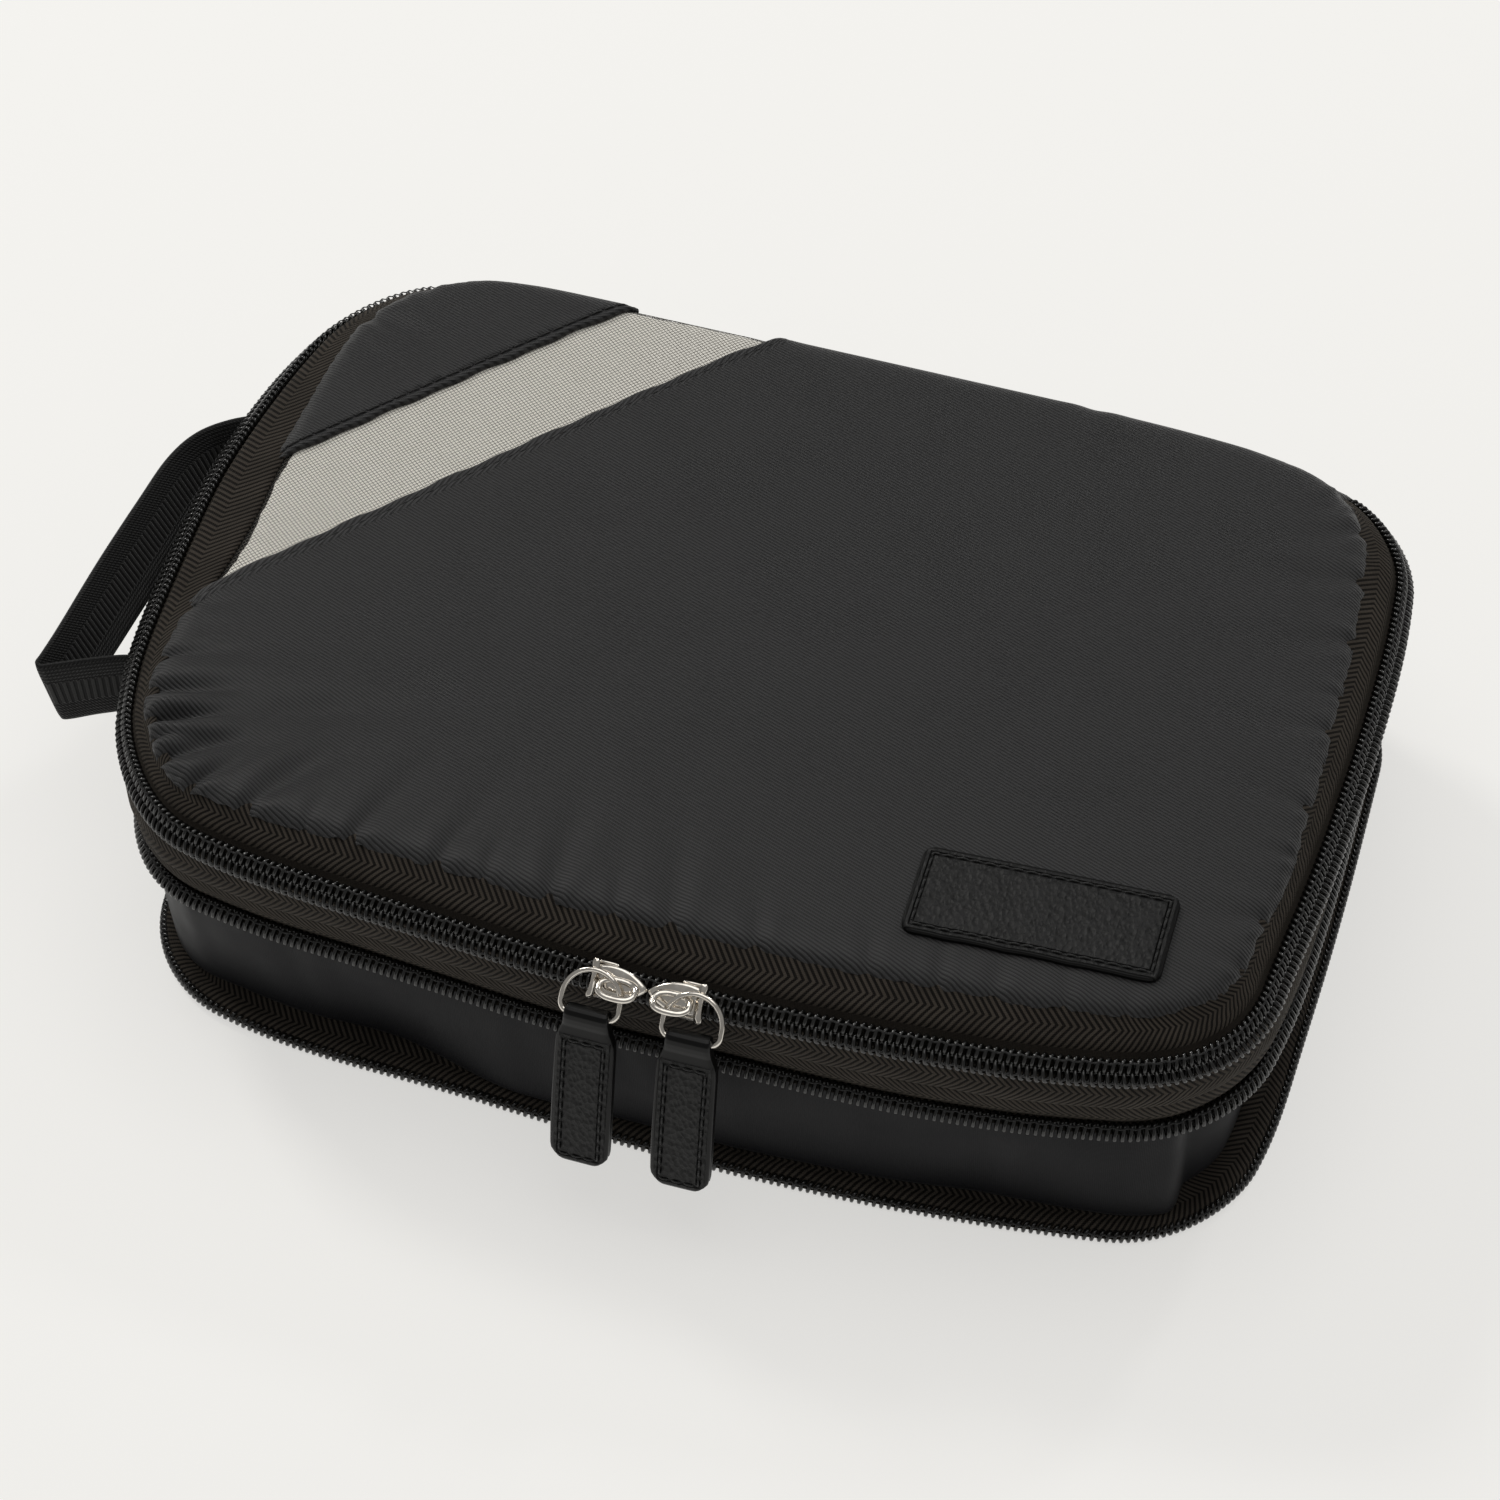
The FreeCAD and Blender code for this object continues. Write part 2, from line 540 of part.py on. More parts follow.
def pull_ring(prefix):
    """A D-shaped wire ring: X along its straight bar, Z towards its round top."""
    body = doc.addObject("PartDesign::Body", f"{prefix}Ring")
    path = new_sketch(body, f"{prefix}RingPath", "XZ_Plane")
    wide, small = value("Sizes.ring_radius"), value("Sizes.ring_corner")
    leg = value("Sizes.ring_leg")
    flat = wide - small
    path.addGeometry([
        Part.LineSegment(FreeCAD.Vector(-flat, 0, 0), FreeCAD.Vector(flat, 0, 0)),
        arc((flat, small), small, 270, 360),
        Part.LineSegment(FreeCAD.Vector(wide, small, 0), FreeCAD.Vector(wide, leg, 0)),
        arc((0, leg), wide, 0, 180),
        Part.LineSegment(FreeCAD.Vector(-wide, leg, 0), FreeCAD.Vector(-wide, small, 0)),
        arc((-flat, small), small, 180, 270)], False)
    for i in range(6):
        path.addConstraint(Sketcher.Constraint("Tangent", i, 2, (i + 1) % 6, 1))
    path.addConstraint(Sketcher.Constraint("Horizontal", 0))
    path.addConstraint(Sketcher.Constraint("Equal", 1, 5))
    pin(path, 3, 3, "0", "Sizes.ring_leg")
    measure(path, "Radius", 3, "Sizes.ring_radius")
    measure(path, "Radius", 1, "Sizes.ring_corner")
    path.addConstraint(Sketcher.Constraint("PointOnObject", 0, 1, -1))
    profile = new_sketch(body, f"{prefix}RingWire", "YZ_Plane")
    profile.addGeometry(Part.Circle(FreeCAD.Vector(), FreeCAD.Vector(0, 0, 1),
                                    value("Sizes.wire_radius")), False)
    profile.addConstraint(Sketcher.Constraint("Coincident", 0, 3, -1, 1))
    measure(profile, "Radius", 0, "Sizes.wire_radius")
    doc.recompute()
    pipe = body.newObject("PartDesign::AdditivePipe", f"{prefix}RingPipe")
    pipe.Profile = profile
    pipe.Spine = (path, [f"Edge{i}" for i in range(1, 7)])
    doc.recompute()
    return body


def pull_tab(prefix):
    """A leather pull: a loop round the ring's bar and a double layer hanging from it."""
    body = doc.addObject("PartDesign::Body", f"{prefix}Tab")
    face = new_sketch(body, f"{prefix}TabFace", "XZ_Plane")
    wide, narrow = "Sizes.tab_width / 2", "Sizes.loop_width / 2"
    low, corner = "-Sizes.tab_length", "Sizes.tab_corner"
    shoulder, cut = "-Sizes.tab_shoulder", "Sizes.tab_shoulder_cut"
    polygon(face, [
        (f"-({wide}) + {corner}", low), (f"{wide} - {corner}", low),
        (wide, f"{low} + {corner}"), (wide, f"{shoulder} - {cut}"),
        (f"{wide} - {cut}", shoulder), (narrow, shoulder), (narrow, "0"),
        (f"-{narrow}", "0"), (f"-{narrow}", shoulder),
        (f"-({wide} - {cut})", shoulder), (f"-{wide}", f"{shoulder} - {cut}"),
        (f"-{wide}", f"{low} + {corner}")])
    pad(body, face, "Sizes.tab_thickness", both_ways=True)
    for suffix, kind, radius in (("Loop", "PartDesign::Pad", "Sizes.loop_radius"),
                                 ("Bore", "PartDesign::Pocket", "Sizes.loop_bore")):
        ring = new_sketch(body, f"{prefix}Tab{suffix}", "YZ_Plane")
        ring.addGeometry(Part.Circle(FreeCAD.Vector(), FreeCAD.Vector(0, 0, 1),
                                     value(radius)), False)
        ring.addConstraint(Sketcher.Constraint("Coincident", 0, 3, -1, 1))
        measure(ring, "Radius", 0, radius)
        feature = body.newObject(kind, f"{prefix}{suffix}")
        feature.Profile = ring
        bind(feature, Length="Sizes.loop_width")
        feature.Midplane = True
        doc.recompute()
    return body


def tab_stitching(prefix):
    """The line of thread round a pull's outer face."""
    body = doc.addObject("PartDesign::Body", f"{prefix}Thread")
    sketch = new_sketch(body, f"{prefix}ThreadLine", "XZ_Plane", "Sizes.tab_thickness / 2")
    middle = "-(Sizes.tab_length + Sizes.tab_shoulder) / 2"
    half_y = "(Sizes.tab_length - Sizes.tab_shoulder) / 2 - Sizes.stitch_inset"
    for extra in ("0", "Sizes.thread"):
        frame(sketch, f"Sizes.tab_width / 2 - Sizes.stitch_inset - {extra}",
              f"{half_y} - {extra}", middle)
    pad(body, sketch, "Sizes.thread / 2")
    return body


def along_front(x, out, up):
    """A point a given distance out from the front rim, at a place along its bow."""
    radius = value("Sizes.front_radius")
    angle = math.asin(x / radius)
    reach = radius + out
    y = radius - value("Sizes.front_reach") - reach * math.cos(angle)
    return FreeCAD.Vector(reach * math.sin(angle), y, up), math.degrees(angle)


def turned(yaw, tilt):
    """Leaned back about X, then turned about the vertical."""
    upright = FreeCAD.Rotation(FreeCAD.Vector(0, 0, 1), yaw)
    return upright.multiply(FreeCAD.Rotation(FreeCAD.Vector(1, 0, 0), tilt))


def bridge_spot(out, up):
    """The (out, up) of the ring's wire where it passes under the bridge."""
    rise = value("Sizes.slider_clearance + Sizes.plate + Sizes.wire_rise")
    slant = math.radians(value("Sizes.chain_slant"))
    return out + rise * math.sin(slant), up + rise * math.cos(slant)


def main_slider(side, x, nose):
    """A main zip slider with its ring and leather pull, placed on the front rim."""
    prefix = side.capitalize()
    reach = value("Sizes.coil_width + Sizes.coil_gap / 2")
    slant = math.radians(value("Sizes.chain_slant"))
    out = reach * math.cos(slant)
    up = value("Sizes.rim_height") - reach * math.sin(slant)
    spot, yaw = along_front(x, out, up)
    lean = turned(yaw, value("Sizes.chain_slant"))
    slider = keep(slider_body(prefix, nose, 1), f"{side}_slider_body")
    slider.Placement = FreeCAD.Placement(spot, lean)
    plate = keep(inner_plate(prefix), f"{side}_slider_inner_plate")
    corner = FreeCAD.Vector(-plate.Length.Value / 2, value("4 * Sizes.seam_gap"),
                            -value("Sizes.coil_depth + Sizes.slider_clearance + Sizes.plate"))
    plate.Placement = FreeCAD.Placement(spot + lean.multVec(corner), lean)

    shoulder = value("Sizes.ring_radius") * math.sin(math.radians(45))
    drop = shoulder + value("Sizes.ring_leg")
    tilt = math.radians(value("Sizes.ring_tilt"))
    hang_out, hang_up = bridge_spot(out, up)
    bar, _ = along_front(x, hang_out + drop * math.sin(tilt), hang_up - drop * math.cos(tilt))
    bar += FreeCAD.Rotation(FreeCAD.Vector(0, 0, 1), yaw).multVec(
        FreeCAD.Vector(-nose * shoulder, 0, 0))
    ring = keep(pull_ring(prefix), f"{side}_pull_ring")
    ring.Placement = FreeCAD.Placement(bar, turned(yaw, -value("Sizes.ring_tilt")))
    hang = FreeCAD.Placement(bar, turned(yaw, -value("Sizes.tab_tilt")))
    keep(pull_tab(prefix), f"{side}_pull_tab").Placement = hang
    keep(tab_stitching(prefix), f"{side}_pull_stitching").Placement = hang
    hinge, _ = along_front(x, hang_out, hang_up)
    print(f"{side}: bridge {tuple(round(v, 3) for v in hinge)}, "
          f"bar {tuple(round(v, 3) for v in bar)}, yaw {yaw:.3f}")


def compression_slider():
    """The compression zip's slider, parked on the back edge, with a flat metal pull."""
    slider = keep(slider_body("Park", 1, -1), "compression_slider_body")
    stand = FreeCAD.Rotation(FreeCAD.Vector(0, 0, 1), 180).multiply(
        FreeCAD.Rotation(FreeCAD.Vector(1, 0, 0), 90))
    slider.Placement.Rotation = stand
    place(slider, "Sizes.park_x", "Sizes.back_reach", "Sizes.park_height")
    pull = doc.addObject("PartDesign::Body", "ParkPull")
    sketch = new_sketch(pull, "ParkPullFace", "XY_Plane",
                        "Sizes.slider_clearance + Sizes.plate + Sizes.wire_rise"
                        " - Sizes.puller_thickness / 2")
    near, wide = "-Sizes.puller_bar / 2", "Sizes.puller_width / 2"
    polygon(sketch, rectangle(near, "Sizes.puller_length", f"-{wide}", wide))
    plate = pad(pull, sketch, "Sizes.puller_thickness")
    rounded = pull.newObject("PartDesign::Fillet", "ParkPullCorners")
    rounded.Base = (plate, upright_edges(plate))
    bind(rounded, Radius="Sizes.plate_corner")
    doc.recompute()
    window = new_sketch(pull, "ParkPullWindow", "XY_Plane")
    start, slot = "Sizes.puller_bar / 2", "Sizes.puller_slot / 2"
    polygon(window, rectangle(start, f"{start} + Sizes.puller_window", f"-{slot}", slot))
    cut = pull.newObject("PartDesign::Pocket", "ParkPullOpening")
    cut.Profile = window
    cut.Type = "ThroughAll"
    cut.Midplane = True
    doc.recompute()
    pull.Placement.Rotation = stand
    keep(place(pull, "Sizes.park_x", "Sizes.back_reach", "Sizes.park_height"),
         "compression_pull")


# --- handle -----------------------------------------------------------------------------

def handle():
    """The webbing handle on the left side: a strap standing on edge, and the flat ends
    that are sewn into the seam between the two zips."""
    edge = -value("Sizes.half_length")
    start_x = edge - value("Sizes.strap_start")
    far_x = edge - value("Sizes.strap_reach")
    up = value("Sizes.handle_height")
    front = FreeCAD.Vector(start_x, value("Sizes.strap_front"), up)
    fold = FreeCAD.Vector(far_x - value("Sizes.fold_in"), value("Sizes.strap_fold"), up)
    straight = FreeCAD.Vector(far_x + value("Sizes.straight_in"),
                              value("Sizes.strap_straight"), up)
    back = FreeCAD.Vector(start_x, value("Sizes.strap_back"), up)
    lead = (front - fold).normalize()
    run = (straight - fold).normalize()
    half_turn = lead.getAngle(run) / 2
    radius = value("Sizes.fold_radius")
    setback = radius / math.tan(half_turn)
    middle = (lead + run).normalize()
    centre = fold + middle * (radius / math.sin(half_turn))
    near, far = fold + lead * setback, fold + run * setback
    chord = back - straight
    side = FreeCAD.Vector(run.y, -run.x, 0)
    turn_radius = chord.dot(chord) / (2 * chord.dot(side))
    turn_centre = straight + side * turn_radius
    halfway = ((straight + back) / 2 - turn_centre).normalize() * turn_radius + turn_centre
    path = Part.Wire([
        Part.LineSegment(front, near).toShape(),
        Part.Arc(near, centre - middle * radius, far).toShape(),
        Part.LineSegment(far, straight).toShape(),
        Part.Arc(straight, halfway, back).toShape()])
    tall = FreeCAD.Vector(0, 0, value("Sizes.webbing_width") / 2)
    across = FreeCAD.Vector(lead.y, -lead.x, 0) * (value("Sizes.webbing_thickness") / 2)
    corners = [front + across + tall, front + across - tall,
               front - across - tall, front - across + tall]
    band = path.makePipeShell([Part.makePolygon(corners + corners[:1])], True, False)
    strap = doc.addObject("Part::Feature", "HandleStrap")
    strap.Shape = band
    keep(strap, "handle_strap")
    for name, spot in (("handle_anchor_front", "Sizes.anchor_front"),
                       ("handle_anchor_back", "Sizes.anchor_back")):
        box = doc.addObject("Part::Box", name.title().replace("_", ""))
        bind(box, Length="Sizes.anchor_length", Width="Sizes.webbing_width",
             Height="Sizes.webbing_thickness")
        place(box, "-Sizes.half_length - Sizes.anchor_start - Sizes.anchor_length",
              f"{spot} - Sizes.webbing_width / 2",
              "Sizes.handle_height - Sizes.webbing_thickness / 2")
        keep(box, name)


def check():
    """Stops if any object failed or any sub-part isn't a good solid."""
    doc.recompute()
    for thing in doc.Objects:
        if {"Invalid", "Error"} & set(thing.State):
            raise SystemExit(f"{thing.Name} failed: {thing.State}")
    for node in nodes:
        if node.Shape.isNull() or not node.Shape.isValid() or node.Shape.Volume <= 0:
            raise SystemExit(f"{node.Label} has no valid shape")


def write():
    """Writes every sub-part to its own STEP file."""
    os.makedirs("parts", exist_ok=True)
    for node in nodes:
        node.Shape.exportStep(f"parts/{node.Label}.step")
    print(len(nodes), "sub-parts written")


keep(panel("Base", "Sizes.base_inset", "0", "Sizes.base_thickness"), "base_panel")
main_zip()
compression_zip()
wall()
seams()
lid_panels()
label()
main_slider("left", value("Sizes.left_slider_x"), 1)
main_slider("right", value("Sizes.right_slider_x"), -1)
compression_slider()
handle()
check()
write()
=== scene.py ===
"""The compression packing cube's looks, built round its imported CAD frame.

Lengths are in millimetres until a mesh is made, which turns them into metres. Most cloth
pieces are strips that follow the rim's plan outline: s is the distance along the outline
from the middle of the front, "out" is how far a point stands outside it, and "up" is its
height above the table.
"""
import math

import bmesh
import bpy
import numpy as np
from mathutils import Matrix, Vector


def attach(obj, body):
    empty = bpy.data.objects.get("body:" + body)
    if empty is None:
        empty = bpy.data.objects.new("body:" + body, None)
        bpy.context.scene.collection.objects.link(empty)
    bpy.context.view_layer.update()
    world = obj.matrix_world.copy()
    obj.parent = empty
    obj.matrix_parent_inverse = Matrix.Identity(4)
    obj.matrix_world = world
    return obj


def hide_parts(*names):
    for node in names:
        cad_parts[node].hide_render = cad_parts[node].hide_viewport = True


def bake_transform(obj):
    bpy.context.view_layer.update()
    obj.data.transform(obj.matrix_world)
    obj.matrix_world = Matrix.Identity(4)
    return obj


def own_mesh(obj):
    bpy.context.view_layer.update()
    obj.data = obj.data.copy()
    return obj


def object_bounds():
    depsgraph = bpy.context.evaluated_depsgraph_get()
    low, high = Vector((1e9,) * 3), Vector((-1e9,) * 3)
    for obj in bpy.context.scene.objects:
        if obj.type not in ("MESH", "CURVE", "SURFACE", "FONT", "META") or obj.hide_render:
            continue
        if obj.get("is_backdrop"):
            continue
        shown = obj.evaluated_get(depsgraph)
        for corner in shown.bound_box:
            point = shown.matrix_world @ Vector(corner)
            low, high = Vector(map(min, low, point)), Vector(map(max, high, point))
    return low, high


MM = 0.001
FULL_TURN = 2 * math.pi
UPWARD = np.array([0.0, 0.0, 1.0])

# the rim's plan outline
HALF_LENGTH, FRONT_REACH, BACK_REACH = 124.0, 92.0, 86.0
FRONT_RADIUS, SIDE_RADIUS, CORNER_RADIUS = 671.0, 1150.0, 30.0
# heights
RIM, LOWER_RIM, SEAM_HEIGHT, LID_HEIGHT = 61.0, 39.6, 64.7, 66.2
WALL_FOOT = 4.6
# zips
COIL_PITCH, COIL_WIDTH, COIL_DEPTH, COIL_GAP = 1.55, 2.85, 2.5, 0.3
COIL_WIRE = 0.47
SLANT = math.sqrt(0.5)
ZIP_END, ZIP_TUCK = 108.0, 12.0
# how far round the outline the straight back begins
BACK_CORNER = 290
# mesh window: a band across one corner of the lid
MESH_MIDDLE, MESH_ANGLE = (-76.6, 44.9), 50.3
MESH_HALF = 13.3
# label
LABEL_MIDDLE, LABEL_ANGLE, LABEL_SIZE = (74.6, -59.2), 2.8, (52.0, 22.3)
# sliders and pulls
SLIDER_X = {"left": -1.3, "right": 11.1}
SLIDER_REACH = COIL_WIDTH + COIL_GAP / 2
RING_RADIUS, RING_CORNER, RING_LEG, RING_WIRE, RING_TILT = 6.0, 2.0, 3.35, 0.55, 42.0
TAB_LENGTH, TAB_TILT = 37.0, 13.0
PLATE_LIFT, PLATE, BRIDGE_RISE = 0.32, 1.0, 1.13
PARK = (62.0, 86.0, 4.0)

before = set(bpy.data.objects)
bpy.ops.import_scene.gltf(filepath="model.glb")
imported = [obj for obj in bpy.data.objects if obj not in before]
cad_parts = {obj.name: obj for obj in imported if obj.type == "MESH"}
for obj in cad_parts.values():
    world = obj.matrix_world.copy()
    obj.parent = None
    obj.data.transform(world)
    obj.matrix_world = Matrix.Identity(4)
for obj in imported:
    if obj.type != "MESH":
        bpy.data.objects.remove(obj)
cad_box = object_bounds()
noise_source = np.random.default_rng(7)


# --- materials --------------------------------------------------------------------------

class Shade:
    """A Principled material and short calls for the nodes that feed it."""

    def __init__(self, name, colour, roughness, **inputs):
        self.material = bpy.data.materials.new(name)
        self.material.use_nodes = True
        self.nodes = self.material.node_tree.nodes
        self.links = self.material.node_tree.links
        self.shader = self.nodes["Principled BSDF"]
        self.put(self.shader.inputs["Base Color"], (*colour, 1.0))
        self.put(self.shader.inputs["Roughness"], roughness)
        for key, number in inputs.items():
            self.put(self.shader.inputs[key.replace("_", " ")], number)
        place = self.nodes.new("ShaderNodeAttribute")
        place.attribute_name = "weave"
        split = self.nodes.new("ShaderNodeSeparateXYZ")
        self.links.new(place.outputs["Vector"], split.inputs[0])
        self.place = place.outputs["Vector"]
        self.x, self.y, self.z = split.outputs

    def put(self, socket, value):
        """Links a socket to another, or gives it a value."""
        if isinstance(value, bpy.types.NodeSocket):
            self.links.new(value, socket)
        else:
            socket.default_value = value

    def math(self, operation, a, b=0.0, c=0.0):
        """One Math node."""
        node = self.nodes.new("ShaderNodeMath")
        node.operation = operation
        for socket, value in zip(node.inputs, (a, b, c)):
            self.put(socket, value)
        return node.outputs[0]

    def wave(self, coordinate, pitch, phase=0.0):
        """A smooth wave from 0 to 1 along a coordinate."""
        angle = self.math("MULTIPLY_ADD", coordinate, FULL_TURN / pitch, phase)
        return self.math("MULTIPLY_ADD", self.math("SINE", angle), 0.5, 0.5)

    def pattern(self, kind, size, stretch):
        """A texture node whose pattern is about size millimetres across."""
        scale = self.nodes.new("ShaderNodeVectorMath")
        scale.operation = "MULTIPLY"
        self.put(scale.inputs[0], self.place)
        scale.inputs[1].default_value = [k / size for k in stretch]
        node = self.nodes.new(kind)
        self.put(node.inputs["Vector"], scale.outputs[0])
        node.inputs["Scale"].default_value = 1.0
        return node

    def noise(self, size, detail=2.0, stretch=(1.0, 1.0, 1.0)):
        """Noise whose lumps are about size millimetres."""
        node = self.pattern("ShaderNodeTexNoise", size, stretch)
        node.inputs["Detail"].default_value = detail
        return node.outputs["Fac"]

    def cells(self, size, stretch):
        """Distance pattern of random cells about size millimetres across."""
        return self.pattern("ShaderNodeTexVoronoi", size, stretch).outputs["Distance"]

    def ramp(self, value, low, high, start=0.0, end=1.0):
        """Maps a value smoothly from one range to another."""
        node = self.nodes.new("ShaderNodeMapRange")
        node.interpolation_type = "SMOOTHSTEP"
        for socket, number in zip(node.inputs, (value, low, high, start, end)):
            self.put(socket, number)
        return node.outputs[0]

    def tint(self, factor, dark, light):
        """Base colour between two colours."""
        node = self.nodes.new("ShaderNodeMix")
        node.data_type = "RGBA"
        self.put(node.inputs["Factor"], factor)
        for socket in node.inputs:
            if socket.type == "RGBA":
                self.put(socket, (*(dark if socket.name == "A" else light), 1.0))
        colour = next(o for o in node.outputs if o.type == "RGBA")
        self.put(self.shader.inputs["Base Color"], colour)

    def bump(self, height, depth, strength=1.0):
        """Bump of a 0-to-1 height, depth millimetres deep."""
        node = self.nodes.new("ShaderNodeBump")
        node.inputs["Strength"].default_value = strength
        node.inputs["Distance"].default_value = depth * MM
        self.put(node.inputs["Height"], height)
        self.put(self.shader.inputs["Normal"], node.outputs[0])

    def roughen(self, value):
        """Roughness from a node."""
        self.put(self.shader.inputs["Roughness"], value)


def twill():
    """Black nylon twill: fine diagonal ribs with a soft sheen."""
    m = Shade("twill", (0.013, 0.013, 0.0135), 0.5, Sheen_Weight=0.1,
              Sheen_Roughness=0.4, Specular_IOR_Level=0.3)
    across = m.math("MULTIPLY_ADD", m.x, 0.345, m.math("MULTIPLY", m.y, 0.938))
    along = m.math("MULTIPLY_ADD", m.x, 0.938, m.math("MULTIPLY", m.y, -0.345))
    rib = m.ramp(m.wave(across, 0.74), 0.1, 0.8)
    thread = m.wave(along, 0.4)
    cloud = m.noise(22.0, 3.0)
    height = m.math("MULTIPLY_ADD", thread, 0.25, rib)
    shade = m.math("MULTIPLY_ADD", rib, 0.8, m.math("MULTIPLY", cloud, 0.35))
    m.tint(shade, (0.0015, 0.0015, 0.0018), (0.034, 0.034, 0.035))
    m.roughen(m.ramp(cloud, 0.2, 0.8, 0.42, 0.55))
    m.bump(height, 0.14)
    return m.material


def nylon():
    """Thin nylon of the expanding wall: smoother, with a silkier sheen."""
    m = Shade("gusset_nylon", (0.011, 0.011, 0.012), 0.5, Sheen_Weight=0.03,
              Sheen_Roughness=0.4, Specular_IOR_Level=0.12)
    weave = m.math("MULTIPLY", m.wave(m.x, 0.42), m.wave(m.y, 0.42))
    cloud = m.noise(14.0, 3.0, (0.5, 1.0, 1.0))
    m.tint(cloud, (0.004, 0.004, 0.0048), (0.009, 0.009, 0.0105))
    m.roughen(m.ramp(cloud, 0.2, 0.8, 0.44, 0.58))
    m.bump(m.math("ADD", m.math("MULTIPLY", weave, 0.5), m.math("MULTIPLY", cloud, 2.0)), 0.06)
    return m.material


def herringbone():
    """Woven zip tape: ribs that meet in a chevron, and a plain band next to the coil.
    y is the distance from the tape's free edge."""
    m = Shade("zip_tape", (0.02, 0.018, 0.015), 0.8, Sheen_Weight=0.07, Sheen_Roughness=0.3,
              Sheen_Tint=(1.0, 0.9, 0.76, 1.0), Specular_IOR_Level=0.1)
    fold = m.math("ABSOLUTE", m.math("SUBTRACT", m.y, 5.2))
    rib = m.wave(m.math("MULTIPLY_ADD", fold, 0.85, m.x), 1.45)
    rib = m.ramp(rib, 0.15, 0.75)
    fine = m.math("MULTIPLY", m.wave(m.x, 0.34), m.wave(m.y, 0.34))
    plain = m.ramp(m.y, 9.2, 9.6)
    rib = m.math("MULTIPLY_ADD", rib, m.math("SUBTRACT", 1.0, plain),
                 m.math("MULTIPLY", plain, 0.4))
    patch = m.noise(9.0, 2.0)
    light = m.math("MULTIPLY", m.math("ADD", m.math("MULTIPLY", rib, 0.8),
                                      m.math("MULTIPLY", fine, 0.35)), 0.85)
    light = m.math("MULTIPLY", light, m.ramp(patch, 0.2, 0.8, 0.8, 1.15))
    m.tint(light, (0.0025, 0.002, 0.0017), (0.064, 0.054, 0.044))
    m.bump(m.math("ADD", rib, m.math("MULTIPLY", fine, 0.4)), 0.2)
    return m.material


def coil_plastic():
    """Black nylon monofilament of the zips' coils."""
    m = Shade("zip_coil", (0.006, 0.006, 0.006), 0.2, Specular_IOR_Level=0.6)
    wear = m.noise(6.0, 2.0)
    m.tint(wear, (0.004, 0.004, 0.0038), (0.011, 0.0105, 0.0095))
    m.roughen(m.ramp(wear, 0.3, 0.8, 0.1, 0.2))
    return m.material


def plain_weave(name, dark, light, pitch, roughness=0.75):
    """A plain woven cloth of one tone."""
    m = Shade(name, dark, roughness, Sheen_Weight=0.2, Sheen_Roughness=0.5,
              Specular_IOR_Level=0.3)
    weave = m.math("MULTIPLY", m.wave(m.x, pitch), m.wave(m.y, pitch))
    shade = m.math("ADD", m.math("MULTIPLY", weave, 0.6), m.math("MULTIPLY", m.noise(12.0), 0.5))
    m.tint(shade, dark, light)
    m.bump(weave, 0.08)
    return m.material


def webbing():
    """Handle webbing: ladder ribs down the middle and slanted ribs along both edges."""
    m = Shade("webbing", (0.012, 0.012, 0.012), 0.62, Sheen_Weight=0.15,
              Sheen_Roughness=0.4, Specular_IOR_Level=0.25)
    side = m.math("ABSOLUTE", m.y)
    border = m.ramp(side, 2.7, 3.1)
    ladder = m.ramp(m.wave(m.x, 1.45), 0.25, 0.7)
    slanted = m.wave(m.math("MULTIPLY_ADD", side, 0.8, m.x), 0.75)
    dots = m.math("MULTIPLY", slanted, m.wave(side, 0.9))
    pick = m.math("ADD", m.math("MULTIPLY", ladder, m.math("SUBTRACT", 1.0, border)),
                  m.math("MULTIPLY", dots, border))
    m.tint(m.math("MULTIPLY", pick, 0.9), (0.003, 0.003, 0.003), (0.032, 0.032, 0.031))
    m.bump(pick, 0.26)
    return m.material


def leather(name, half_x, half_y, middle=0.0):
    """Black pebbled leather with a sewn channel round its border. The channel is a
    rectangle in the piece's own x and y."""
    m = Shade(name, (0.008, 0.008, 0.008), 0.5, Specular_IOR_Level=0.24)
    grain = m.math("ADD", m.math("MULTIPLY", m.cells(1.15, (1.2, 0.8, 1.0)), 0.9),
                   m.math("MULTIPLY", m.noise(1.1, 3.0, (1.0, 0.6, 1.0)), 0.9))
    far_x = m.math("SUBTRACT", m.math("ABSOLUTE", m.x), half_x)
    far_y = m.math("SUBTRACT", m.math("ABSOLUTE", m.math("SUBTRACT", m.y, middle)), half_y)
    edge = m.math("MAXIMUM", far_x, far_y)
    channel = m.ramp(m.math("ABSOLUTE", edge), 0.2, 0.6, 0.0, 1.0)
    rim = m.ramp(edge, 1.1, 1.5)
    grain = m.math("MULTIPLY", grain, m.math("SUBTRACT", 1.0, rim))
    # along the sewn channel the colour falls to its darkest: painted shade in the recess that the
    # bump sinks
    m.tint(m.math("MULTIPLY", grain, channel), (0.0015, 0.0015, 0.0015), (0.010, 0.010, 0.010))
    m.roughen(m.ramp(rim, 0.0, 1.0, 0.5, 0.34))
    m.bump(m.math("ADD", grain, m.math("MULTIPLY", channel, 1.2)), 0.42)
    return m.material


def thread():
    """Black sewing thread, twisted."""
    m = Shade("thread", (0.008, 0.008, 0.008), 0.5, Sheen_Weight=0.1, Specular_IOR_Level=0.3)
    twist = m.wave(m.math("ADD", m.x, m.y), 0.3)
    m.tint(twist, (0.006, 0.006, 0.006), (0.026, 0.026, 0.026))
    m.bump(twist, 0.05)
    return m.material


def nickel():
    """Bright nickel plate with faint casting ripples, and light and dark patches in its colour:
    painted reflections.
    """
    m = Shade("nickel", (0.78, 0.74, 0.68), 0.16, Metallic=1.0)
    # light and dark patches painted into the colour stand in for reflections of the surroundings:
    # painted reflections; the same patches vary the roughness
    reflection_patches = m.noise(2.5, 3.0)
    m.tint(reflection_patches, (0.62, 0.575, 0.51), (0.90, 0.86, 0.80))
    m.roughen(m.ramp(reflection_patches, 0.3, 0.8, 0.09, 0.24))
    m.bump(m.noise(2.4, 2.0), 0.09)
    return m.material


